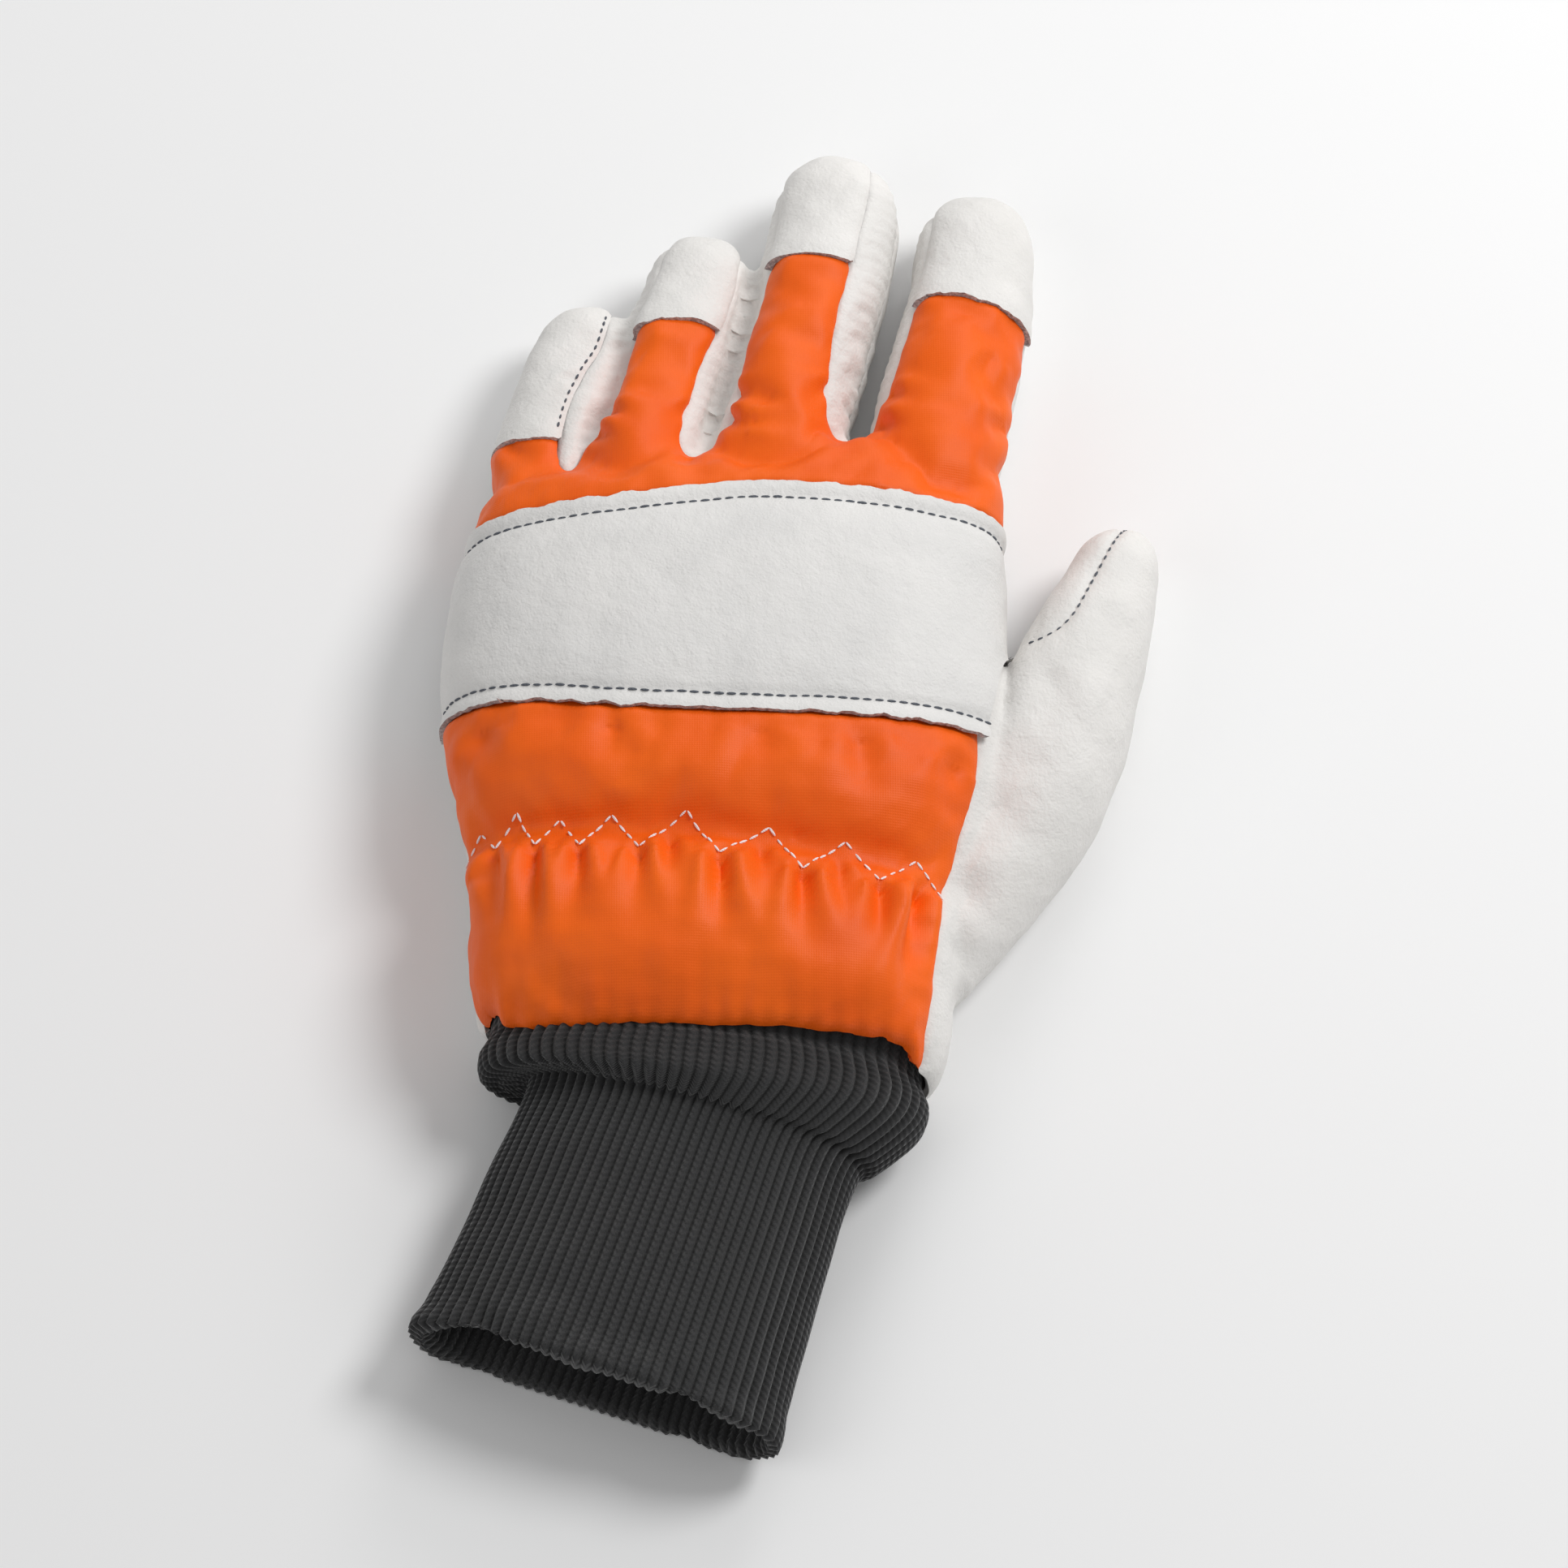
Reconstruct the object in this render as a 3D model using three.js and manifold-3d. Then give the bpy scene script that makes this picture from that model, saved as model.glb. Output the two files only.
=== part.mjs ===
import * as THREE from "three";
import { mergeVertices } from "three/addons/utils/BufferGeometryUtils.js";
import Module from "manifold-3d";

const wasm = await Module();
wasm.setup();

// A left-hand glove that lies on its palm: +Y to the fingertips, +X to the thumb, +Z up, in millimetres.

// Sizes of the hand
const handWidth = 116;
const handLength = 134;
const handHeight = 42;
const fingerReach = 76.5;
const fingerWidth = 27.5;
const fingerHeight = 30;
const thumbWidth = 30;
const thumbHeight = 27;

// Thickness of the materials
const leather = 1.8;
const padding = 3.6;
const knit = 2.6;
const strapThickness = 1.4;
const patchThickness = 1.3;

// Seams and gathers
const seamGap = 0.3;
const seamHeight = 13;
const pleatCount = 7;
const pleatDepth = 2.2;

// Cuff
const cuffLength = 73;
const cuffWidth = 72;
const cuffHeight = 27;
const ridgeWidth = 93;
const ridgeHeight = 33;
const cuffLean = 18.5;
const cuffShift = -0.036;

// Where the hem lies along Y
const hemPlace = -59;

// A share up to 1 runs over the hand from the hem to the finger roots, and from 1 to 2 over the fingers.
const along = (share) =>
  hemPlace + Math.min(share, 1) * handLength + Math.max(share - 1, 0) * fingerReach;

// Hand sections: left and right edge in hand widths, top in hand heights, slant of the section in plan
const handRows = [
  { along: 0.0, left: -0.436, right: 0.372, top: 0.81, slant: -0.13 },
  { along: 0.04, left: -0.446, right: 0.388, top: 0.89, slant: -0.12 },
  { along: 0.12, left: -0.455, right: 0.4, top: 0.95, slant: -0.09 },
  { along: 0.21, left: -0.46, right: 0.412, top: 0.95, slant: -0.06 },
  { along: 0.27, left: -0.457, right: 0.42, top: 0.9, slant: -0.06 },
  { along: 0.315, left: -0.463, right: 0.438, top: 0.865, slant: -0.06 },
  { along: 0.37, left: -0.474, right: 0.46, top: 0.93, slant: -0.05 },
  { along: 0.46, left: -0.491, right: 0.488, top: 0.975, slant: -0.03 },
  { along: 0.57, left: -0.501, right: 0.5, top: 1.0, slant: 0 },
  { along: 0.7, left: -0.495, right: 0.487, top: 1.0, slant: 0 },
  { along: 0.82, left: -0.478, right: 0.487, top: 0.97, slant: 0.04 },
  { along: 0.91, left: -0.455, right: 0.49, top: 0.88, slant: 0.07 },
  { along: 0.98, left: -0.43, right: 0.49, top: 0.74, slant: 0.09 },
  { along: 1.04, left: -0.405, right: 0.484, top: 0.52, slant: 0.1 },
];

// Finger sections: place in hand widths and along the hand, width in finger widths, top in finger heights
const fingerRows = {
  little: {
    tip: 0.4,
    rows: [
      { x: -0.322, along: 0.86, width: 0.86, top: 0.93 },
      { x: -0.315, along: 0.97, width: 0.97, top: 0.88 },
      { x: -0.298, along: 1.13, width: 0.96, top: 0.82 },
      { x: -0.274, along: 1.29, width: 0.9, top: 0.76 },
      { x: -0.256, along: 1.39, width: 0.82, top: 0.7 },
    ],
  },
  ring: {
    tip: 0.48,
    rows: [
      { x: -0.172, along: 0.87, width: 0.88, top: 1.07 },
      { x: -0.16, along: 1.0, width: 0.97, top: 1.05 },
      { x: -0.125, along: 1.21, width: 0.95, top: 0.98 },
      { x: -0.086, along: 1.42, width: 0.93, top: 0.92 },
      { x: -0.056, along: 1.575, width: 0.88, top: 0.84 },
    ],
  },
  middle: {
    tip: 0.52,
    rows: [
      { x: 0.052, along: 0.88, width: 0.93, top: 1.13 },
      { x: 0.082, along: 1.02, width: 1.03, top: 1.1 },
      { x: 0.112, along: 1.235, width: 1.01, top: 1.05 },
      { x: 0.147, along: 1.44, width: 1.01, top: 1.0 },
      { x: 0.181, along: 1.65, width: 1.06, top: 0.94 },
      { x: 0.2, along: 1.81, width: 1.07, top: 0.87 },
    ],
  },
  index: {
    tip: 0.48,
    rows: [
      { x: 0.343, along: 0.88, width: 1.0, top: 1.07 },
      { x: 0.366, along: 1.02, width: 1.05, top: 1.04 },
      { x: 0.391, along: 1.21, width: 1.04, top: 0.98 },
      { x: 0.42, along: 1.4, width: 1.02, top: 0.94 },
      { x: 0.441, along: 1.55, width: 0.99, top: 0.9 },
      { x: 0.446, along: 1.7, width: 0.95, top: 0.84 },
    ],
  },
};

// Thumb sections, its width in thumb widths and its top in thumb heights
const thumbRows = {
  tip: 0.38,
  rows: [
    { x: 0.26, along: 0.125, width: 0.87, top: 0.74 },
    { x: 0.38, along: 0.257, width: 1.0, top: 0.86 },
    { x: 0.498, along: 0.419, width: 1.16, top: 0.94 },
    { x: 0.578, along: 0.544, width: 1.04, top: 1.0 },
    { x: 0.625, along: 0.654, width: 0.9, top: 1.0 },
    { x: 0.668, along: 0.757, width: 0.76, top: 0.93 },
    { x: 0.698, along: 0.831, width: 0.61, top: 0.85 },
  ],
};

// Seams in plan, as places in hand widths and along the hand
const littleRingSeam = [
  [-0.2, 1.62], [-0.214, 1.47], [-0.232, 1.36], [-0.258, 1.28], [-0.284, 1.18], [-0.298, 1.08],
  [-0.301, 1.0], [-0.292, 0.975], [-0.277, 0.985], [-0.262, 1.02], [-0.228, 1.11], [-0.202, 1.24],
  [-0.172, 1.41], [-0.14, 1.56], [-0.09, 1.8],
];
const ringMiddleSeam = [
  [0.03, 1.8], [0.024, 1.58], [0.004, 1.47], [-0.014, 1.39], [-0.045, 1.27], [-0.064, 1.15],
  [-0.081, 1.05], [-0.079, 1.01], [-0.065, 0.99], [-0.048, 1.0], [-0.032, 1.03], [-0.002, 1.12],
  [0.016, 1.25], [0.038, 1.4], [0.062, 1.55], [0.08, 1.7], [0.09, 1.82], [0.11, 2.1],
];
const middleIndexSeam = [
  [0.27, 2.1], [0.26, 1.83], [0.23, 1.6], [0.205, 1.42], [0.19, 1.25], [0.185, 1.12],
  [0.193, 1.075], [0.213, 1.06], [0.235, 1.07], [0.256, 1.11], [0.3, 1.28], [0.33, 1.46], [0.352, 1.62], [0.372, 1.78], [0.4, 2.0],
];
const hems = {
  little: [[-0.5, 1.08], [-0.298, 1.06]],
  ring: [[-0.172, 1.41], [-0.011, 1.4]],
  middle: [[0.066, 1.6], [0.23, 1.6]],
  index: [[0.335, 1.5], [0.44, 1.48], [0.6, 1.41]],
};
const sideSeam = [
  [0.502, 0.695], [0.478, 0.64], [0.458, 0.54], [0.45, 0.45], [0.428, 0.36], [0.4, 0.28],
  [0.38, 0.2], [0.368, 0.12], [0.35, -0.04],
];
const palmThumbSeam = [
  [0.502, 0.695], [0.478, 0.64], [0.41, 0.54], [0.34, 0.4], [0.31, 0.25], [0.3, 0.1], [0.3, -0.04],
];
const thumbGussetSeam = [
  [0.76, 0.98], [0.708, 0.905], [0.655, 0.81], [0.61, 0.73], [0.565, 0.7], [0.502, 0.7],
];

// Strap and palm patch edges, from the little finger side to the thumb side
const strapUpperEdge = [[-0.7, 0.865], [-0.3, 0.875], [0.05, 0.892], [0.35, 0.892], [0.7, 0.885]];
const strapLowerEdge = [[-0.7, 0.56], [-0.3, 0.53], [0, 0.505], [0.3, 0.5], [0.44, 0.5]];
const patchUpperEdge = [[-0.7, 0.9], [-0.1, 0.93], [0.508, 0.945]];
const patchLowerEdge = [[-0.7, 0.66], [-0.1, 0.68], [0.508, 0.73]];

// Cuff sections past the hem: place and width in cuff sizes, and how much of the lean each one has
const cuffRows = [
  { along: 0.0, width: 0, ridge: 0.97, top: 0.96, lean: 0.4 },
  { along: 0.05, width: 0, ridge: 1.0, top: 1.0, lean: 0.4 },
  { along: 0.11, width: 0, ridge: 0.97, top: 0.95, lean: 0.45 },
  { along: 0.155, width: 0.5, ridge: 0.45, top: 0.4, lean: 0.8 },
  { along: 0.19, width: 0.98, ridge: 0, top: 0, lean: 0.95 },
  { along: 0.45, width: 1.0, ridge: 0, top: 0, lean: 1.04 },
  { along: 0.75, width: 1.04, ridge: 0, top: 0, lean: 1.04 },
  { along: 1.0, width: 1.09, ridge: 0, top: 0, lean: 1.04 },
];

const fullness = (value, power) => Math.sign(value) * Math.abs(value) ** (2 / power);

// Angles round a section, closer on the upper half that carries the pleats
function sectionAngles(upper, lower) {
  const angles = [];
  for (let i = 0; i < upper; i += 1) angles.push((Math.PI * i) / upper);
  for (let i = 0; i < lower; i += 1) angles.push(Math.PI + (Math.PI * i) / lower);
  return angles;
}

const handAngles = sectionAngles(34, 10);
const insideAngles = sectionAngles(16, 8);
const fingerAngles = sectionAngles(10, 6);

// Closed solid through rings of points that all have the same number of points
function loft(rings) {
  const count = rings[0].length;
  const positions = rings.flat().flatMap((point) => point.toArray());
  const faces = [];
  for (let row = 0; row < rings.length - 1; row += 1) {
    for (let i = 0; i < count; i += 1) {
      const a = row * count + i;
      const b = row * count + ((i + 1) % count);
      faces.push(a, a + count, b, b, a + count, b + count);
    }
  }
  const last = (rings.length - 1) * count;
  for (const [ring, first, flip] of [[rings[0], 0, false], [rings.at(-1), last, true]]) {
    const centre = new THREE.Vector3();
    for (const point of ring) centre.addScaledVector(point, 1 / count);
    const hub = positions.length / 3;
    positions.push(...centre.toArray());
    for (let i = 0; i < count; i += 1) {
      const a = first + i;
      const b = first + ((i + 1) % count);
      faces.push(hub, flip ? b : a, flip ? a : b);
    }
  }
  const geometry = new THREE.BufferGeometry();
  geometry.setAttribute("position", new THREE.Float32BufferAttribute(positions, 3));
  geometry.setIndex(faces);
  return toSolid(geometry);
}

function toSolid(geometry) {
  const plain = new THREE.BufferGeometry();
  plain.setAttribute("position", geometry.getAttribute("position"));
  if (geometry.index) plain.setIndex(geometry.index);
  const merged = mergeVertices(plain, 1e-5);
  return new wasm.Manifold(new wasm.Mesh({
    numProp: 3,
    vertProperties: Float32Array.from(merged.getAttribute("position").array),
    triVerts: Uint32Array.from(merged.index.array),
  }));
}

// Pleats of the gathered back, deepest at the elastic and gone at the hem and under the strap
function pleat(across, share) {
  const fade = Math.exp(-(((share - 0.24) / 0.14) ** 2));
  const side = Math.max(0, 1 - Math.abs(across) ** 4);
  return -pleatDepth * fade * side * (0.5 + 0.5 * Math.cos(2 * Math.PI * pleatCount * across));
}

// One ring of the hand, the walls moved outwards by grow and the top lowered by lift
function handRing(row, grow, lift, angles) {
  const centre = ((row.left + row.right) / 2) * handWidth;
  const half = ((row.right - row.left) / 2) * handWidth + grow;
  const mid = 0.36 * handHeight;
  return angles.map((angle) => {
    const across = fullness(Math.cos(angle), 2.5);
    const rise = fullness(Math.sin(angle), 2.5);
    const x = centre + across * half;
    const y = along(row.along) + row.slant * x;
    const above = row.top * handHeight - mid + grow - lift;
    const z = mid + rise * (rise > 0 ? above : mid * 1.35 + grow);
    const fold = pleat(x / handWidth, row.along) * Math.max(rise, 0);
    return new THREE.Vector3(x, y, Math.max(z + fold, -grow));
  });
}

function handBody(grow, angles, lift = 0, start = 0) {
  const rings = handRows.map((row) => handRing(row, grow, lift, angles));
  if (start) rings.unshift(rings[0].map((point) => point.clone().setY(point.y - start)));
  const end = rings.at(-1).map((point) => point.clone().setY(point.y + grow));
  rings[rings.length - 1] = end;
  return loft(rings);
}

// Finger or thumb: a round tube along its own path, closed by a rounded tip
function digit({ rows, tip }, width, height, grow) {
  const path = new THREE.CatmullRomCurve3(
    rows.map((row) => new THREE.Vector3(row.x * handWidth, along(row.along), 0)));
  const sizes = new THREE.CatmullRomCurve3(
    rows.map((row) => new THREE.Vector3((row.width * width) / 2, row.top * height, 0)));
  const mid = 0.45 * height;
  const ringAt = (place, heading, half, top, shrink) => fingerAngles.map((angle) => {
    const across = fullness(Math.cos(angle), 2.3) * (half + grow) * shrink;
    const rise = fullness(Math.sin(angle), 2.3) * shrink;
    const z = mid + rise * (rise > 0 ? top - mid + grow : mid * 1.12 + grow);
    return new THREE.Vector3(
      place.x + across * heading.y, place.y - across * heading.x, Math.max(z, -grow));
  });
  const steps = rows.length + 1;
  const rings = [];
  for (let i = 0; i <= steps; i += 1) {
    const t = i / steps;
    const size = sizes.getPoint(t);
    rings.push(ringAt(path.getPoint(t), path.getTangent(t).normalize(), size.x, size.y, 1));
  }
  const heading = path.getTangent(1).normalize();
  const size = sizes.getPoint(1);
  for (const turn of [28, 54, 76]) {
    const angle = THREE.MathUtils.degToRad(turn);
    const reach = (tip * width + grow) * Math.sin(angle);
    const place = path.getPoint(1).addScaledVector(heading, reach);
    rings.push(ringAt(place, heading, size.x, size.y, Math.cos(angle)));
  }
  return loft(rings);
}

function thumbTube(grow) {
  return digit(thumbRows, thumbWidth, thumbHeight, grow);
}

function digits(grow) {
  const fingers = Object.values(fingerRows).map((rows) => digit(rows, fingerWidth, fingerHeight, grow));
  return [...fingers, thumbTube(grow)].reduce((all, one) => all.add(one));
}

// Plan places turned into millimetres
const toPlan = (line) => line.map(([x, share]) => new THREE.Vector2(x * handWidth, along(share)));

function prism(outline, low, high) {
  const geometry = new THREE.ExtrudeGeometry(new THREE.Shape(outline), {
    depth: high - low, bevelEnabled: false,
  });
  geometry.translate(0, 0, low);
  return toSolid(geometry);
}

// Thin upright wall along a plan line, which leaves the gap of a seam
function seamWall(line, low, high) {
  const points = toPlan(line);
  const sides = points.slice(1).map((point, i) => {
    const heading = point.clone().sub(points[i]).normalize();
    return new THREE.Vector2(heading.y, -heading.x);
  });
  return loft(points.map((point, i) => {
    const side = sides[Math.max(i - 1, 0)];
    const across = side.clone().add(sides[Math.min(i, sides.length - 1)]).normalize();
    across.multiplyScalar(seamGap / 2 / across.dot(side));
    return [[1, low], [1, high], [-1, high], [-1, low]].map(([turn, z]) =>
      new THREE.Vector3(point.x + turn * across.x, point.y + turn * across.y, z));
  }));
}

// Region between two edges that both run from the little finger side to the thumb side
function band(lower, upper, low, high, grow = 0) {
  const shift = new THREE.Vector2(0, grow);
  const near = toPlan(lower).map((point) => point.sub(shift));
  const far = toPlan(upper).map((point) => point.add(shift));
  return prism([...near, ...far.reverse()], low, high);
}

const wide = 3 * handWidth;
const high = 2 * handHeight;
const seamTop = seamHeight + seamGap / 2;
const seamFoot = seamHeight - seamGap / 2;

// Level gap between the palm side and the back, all round the hand but not through the thumb
function levelSeam() {
  const outline = [
    new THREE.Vector2(-wide, along(-0.5)),
    ...toPlan([...sideSeam].reverse()),
    ...toPlan([[0.54, 0.9], [0.62, 1.05]]),
    new THREE.Vector2(wide, along(1.3)),
    new THREE.Vector2(wide, along(3)),
    new THREE.Vector2(-wide, along(3)),
  ];
  return prism(outline, seamFoot, seamTop);
}

// The walls of the whole hand before the seams part them
function handWalls() {
  const outside = handBody(0, handAngles).add(digits(0));
  const pocket = band(patchLowerEdge, patchUpperEdge, -1, seamFoot, leather)
    .subtract(handBody(-(patchThickness + seamGap + leather), insideAngles));
  const hollow = handBody(-leather, insideAngles, padding - leather, 4).add(digits(-leather));
  return outside.subtract(hollow.subtract(pocket));
}

function partedWalls() {
  const seams = [littleRingSeam, ringMiddleSeam, middleIndexSeam, sideSeam, ...Object.values(hems)]
    .map((line) => seamWall(line, seamFoot, high));
  seams.push(seamWall(palmThumbSeam, -1, seamTop), seamWall(thumbGussetSeam, -1, high), levelSeam());
  const patchPocket = band(patchLowerEdge, patchUpperEdge, -1, seamTop, seamGap)
    .subtract(handBody(-(patchThickness + seamGap), insideAngles));
  const cut = seams.reduce((all, one) => all.add(one)).add(patchPocket);
  return handWalls().subtract(cut).decompose();
}

// Each panel is the cut-out piece that has the most of a small ball at its place
const probes = {
  palm: { x: 0, along: 0.3, z: 1 },
  back: { x: 0, along: 0.3, z: 0.86 * handHeight },
  little_tip: { x: -0.31, along: 1.27, z: 0.74 * fingerHeight },
  ring_tip: { x: -0.07, along: 1.55, z: 0.84 * fingerHeight },
  middle_tip: { x: 0.18, along: 1.8, z: 0.86 * fingerHeight },
  index_tip: { x: 0.44, along: 1.65, z: 0.86 * fingerHeight },
  little_ring_gusset: { x: -0.25, along: 1.12, z: 0.7 * fingerHeight },
  ring_middle_gusset: { x: -0.04, along: 1.08, z: 0.7 * fingerHeight },
  middle_index_gusset: { x: 0.22, along: 1.15, z: 0.7 * fingerHeight },
  thumb: { x: 0.69, along: 0.6, z: 0.7 * thumbHeight },
  thumb_gusset: { x: 0.6, along: 0.78, z: 0.6 * thumbHeight },
};

function pieceAt(pieces, probe) {
  const ball = new THREE.IcosahedronGeometry(3.5, 1);
  ball.translate(probe.x * handWidth, along(probe.along), probe.z);
  const place = toSolid(ball);
  const shared = pieces.map((piece) => piece.intersect(place).volume());
  return pieces[shared.indexOf(Math.max(...shared))];
}

// Strap sewn over the back, bent over the hand from one side seam to the other
function knuckleStrap() {
  const layer = handBody(seamGap + strapThickness, handAngles)
    .subtract(handBody(seamGap, handAngles));
  const outline = [
    ...toPlan(strapLowerEdge),
    ...toPlan([[0.44, 0.53], [0.456, 0.62], [0.53, 0.7], [0.56, 0.8]]),
    ...toPlan([...strapUpperEdge].reverse()),
  ];
  return layer.intersect(prism(outline, seamTop, high)).subtract(thumbTube(seamGap));
}

// Reinforcement sewn across the palm under the finger roots
function palmPatch() {
  const layer = handBody(0, handAngles).subtract(handBody(-patchThickness, insideAngles));
  return layer.intersect(band(patchLowerEdge, patchUpperEdge, -1, seamFoot));
}

// Ring of the cuff past the hem, flat where it lies
function cuffRing(row, place, grow) {
  const lean = THREE.MathUtils.degToRad(cuffLean * row.lean);
  const half = (row.width * cuffWidth + row.ridge * ridgeWidth) / 2 + grow;
  const top = row.top > 0 ? cuffHeight + (ridgeHeight - cuffHeight) * row.top : cuffHeight;
  const mid = 0.45 * cuffHeight;
  return insideAngles.map((angle) => {
    const across = fullness(Math.cos(angle), 2.4) * half;
    const rise = fullness(Math.sin(angle), 2.4);
    const z = mid + rise * (rise > 0 ? top - mid + grow : mid * 1.3 + grow);
    return new THREE.Vector3(
      place.x + across * Math.cos(lean), place.y - across * Math.sin(lean), Math.max(z, -grow));
  });
}

// Tube of knit: it starts inside the hem, rolls out to the ridge and runs on to the mouth
function cuffTube(grow, reach) {
  const inside = -(leather + seamGap) + grow;
  const rings = [handRows[0], handRows[1], handRows[0]].map((row, i) =>
    handRing({ ...row, along: [0.07, 0.04, -0.003][i] }, inside, padding - leather, insideAngles));
  rings[0].forEach((point) => { point.y += reach; });
  const place = new THREE.Vector2(cuffShift * handWidth, along(0) - 0.9);
  let before = 0;
  cuffRows.forEach((row) => {
    const lean = THREE.MathUtils.degToRad(cuffLean * row.lean);
    const step = (row.along - before) * cuffLength;
    place.add(new THREE.Vector2(-Math.sin(lean), -Math.cos(lean)).multiplyScalar(step));
    before = row.along;
    rings.push(cuffRing(row, place, grow));
  });
  rings.at(-1).forEach((point) => { point.y -= reach; });
  return loft(rings.reverse());
}

function cuff() {
  return cuffTube(0, 0).subtract(cuffTube(-knit, 3));
}

const finishes = {
  leather: { color: 0xdedcd8, roughness: 0.6, metalness: 0 },
  strapLeather: { color: 0xd7d5d3, roughness: 0.65, metalness: 0 },
  fabric: { color: 0xf05a14, roughness: 0.55, metalness: 0 },
  knit: { color: 0x37383a, roughness: 0.95, metalness: 0 },
};

function toMesh(name, solid, finish) {
  const { vertProperties, triVerts } = solid.getMesh();
  const geometry = new THREE.BufferGeometry();
  geometry.setAttribute("position", new THREE.Float32BufferAttribute(vertProperties, 3));
  geometry.setIndex(Array.from(triVerts));
  const mesh = new THREE.Mesh(geometry, new THREE.MeshStandardMaterial(finish));
  mesh.name = name;
  return mesh;
}

const glove = new THREE.Group();
glove.name = "chainsaw_glove";
const panels = partedWalls();
for (const [name, probe] of Object.entries(probes)) {
  const finish = name === "back" ? finishes.fabric : finishes.leather;
  glove.add(toMesh(name, pieceAt(panels, probe), finish));
}
glove.add(toMesh("knuckle_strap", knuckleStrap(), finishes.strapLeather));
glove.add(toMesh("palm_patch", palmPatch(), finishes.strapLeather));
glove.add(toMesh("cuff", cuff(), finishes.knit));

export default glove;
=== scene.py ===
import math

import bmesh
import bpy
import numpy as np
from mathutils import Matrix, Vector
from mathutils.bvhtree import BVHTree


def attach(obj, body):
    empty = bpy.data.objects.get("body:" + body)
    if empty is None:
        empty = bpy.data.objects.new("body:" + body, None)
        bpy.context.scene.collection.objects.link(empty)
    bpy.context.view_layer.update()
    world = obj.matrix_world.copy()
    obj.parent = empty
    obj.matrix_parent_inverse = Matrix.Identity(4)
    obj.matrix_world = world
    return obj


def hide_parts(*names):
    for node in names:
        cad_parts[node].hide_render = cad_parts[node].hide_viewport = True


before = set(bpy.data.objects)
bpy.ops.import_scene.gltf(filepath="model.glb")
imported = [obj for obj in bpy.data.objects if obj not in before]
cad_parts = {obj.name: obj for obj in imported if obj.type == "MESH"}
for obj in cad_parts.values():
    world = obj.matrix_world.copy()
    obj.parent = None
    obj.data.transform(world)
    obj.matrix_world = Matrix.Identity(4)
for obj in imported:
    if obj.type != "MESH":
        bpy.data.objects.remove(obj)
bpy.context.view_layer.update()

# Lengths are in millimetres and become metres when a mesh is made.
# The glove lies on its palm: +Y to the fingertips, +X to the thumb, +Z up.
MM = 0.001
HAND_WIDTH = 116
HAND_LENGTH = 134
HAND_HEIGHT = 42
HEM_PLACE = -59
FINGER_REACH = 76.5
FINGER_WIDTH = 27.5
FINGER_HEIGHT = 30
THUMB_WIDTH = 30
THUMB_HEIGHT = 27
SEAM_HEIGHT = 13
LEATHER = 1.5
PADDING = 3.0
STRAP_LIFT = 1.7
STRAP_THICKNESS = 1.3
PATCH_THICKNESS = 1.3
PATCH_END = 62
THUMB_GUSSET_START = 54

CUFF_LENGTH = 73
CUFF_WIDTH = 72
CUFF_HEIGHT = 27
RIDGE_WIDTH = 93
RIDGE_HEIGHT = 33
CUFF_LEAN = 18.5
CUFF_SHIFT = -0.036
KNIT = 2.4
RIB_COUNT = 78
RIB_DEPTH = 1.1
STITCH_ROW = 1.5
RIB_POINTS = 6
CUFF_RINGS = 118
SEAM_LAP = 0.8
FINGER_GAP_WIDTH = 1.5
FINGER_GAP_FADE = 9
FINE_GRAIN = 1.0
COARSE_GRAIN = 2.0
EDGE_REACH = 40
CLOTH_FRAMES = 20
CLOTH_SCALE = 0.01
PUFF_LIMIT = 2.8
STRAP_STITCH_INSET = 3.4
SEAM_STITCH_INSET = 1.3
ZIGZAG_CORNER = 1.1
PATCH_ROWS = (0.12, 0.5, 0.88)
LINE_STEP = 0.8
RAY_BELOW = -50
RAY_ABOVE = 120
TIP_RAY = 19
TIP_TURN = 62
FLOOR_HALF = 3000
FLOOR_PLACE = -0.4

# Camera: distance and width of view in metres, height over the floor in degrees
CAMERA_DISTANCE = 2.0
CAMERA_ELEVATION = 65
VIEW_WIDTH = 0.3246

# Threads: pitch, length and thickness of a stitch
STRAP_THREAD = (2.5, 1.9, 0.55)
ZIGZAG_THREAD = (2.5, 2.0, 0.5)
SEAM_THREAD = (2.2, 1.3, 0.5)
PATCH_THREAD = (2.5, 1.0, 0.6)
TIP_THREAD = (2.0, 1.2, 0.5)

# Hand sections: place along the hand, left and right edge, top, slant in plan
HAND_ROWS = [
    (-0.05, -0.43, 0.365, 0.72, -0.13),
    (0.0, -0.436, 0.372, 0.81, -0.13),
    (0.04, -0.446, 0.388, 0.89, -0.12),
    (0.12, -0.455, 0.4, 0.95, -0.09),
    (0.21, -0.46, 0.412, 0.95, -0.06),
    (0.27, -0.457, 0.42, 0.9, -0.06),
    (0.315, -0.463, 0.438, 0.865, -0.06),
    (0.37, -0.474, 0.46, 0.93, -0.05),
    (0.46, -0.491, 0.488, 0.975, -0.03),
    (0.57, -0.501, 0.5, 1.0, 0),
    (0.7, -0.495, 0.487, 1.0, 0),
    (0.82, -0.478, 0.487, 0.97, 0.04),
    (0.91, -0.455, 0.49, 0.88, 0.07),
    (0.98, -0.43, 0.49, 0.74, 0.09),
    (1.04, -0.405, 0.484, 0.52, 0.1),
]

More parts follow.
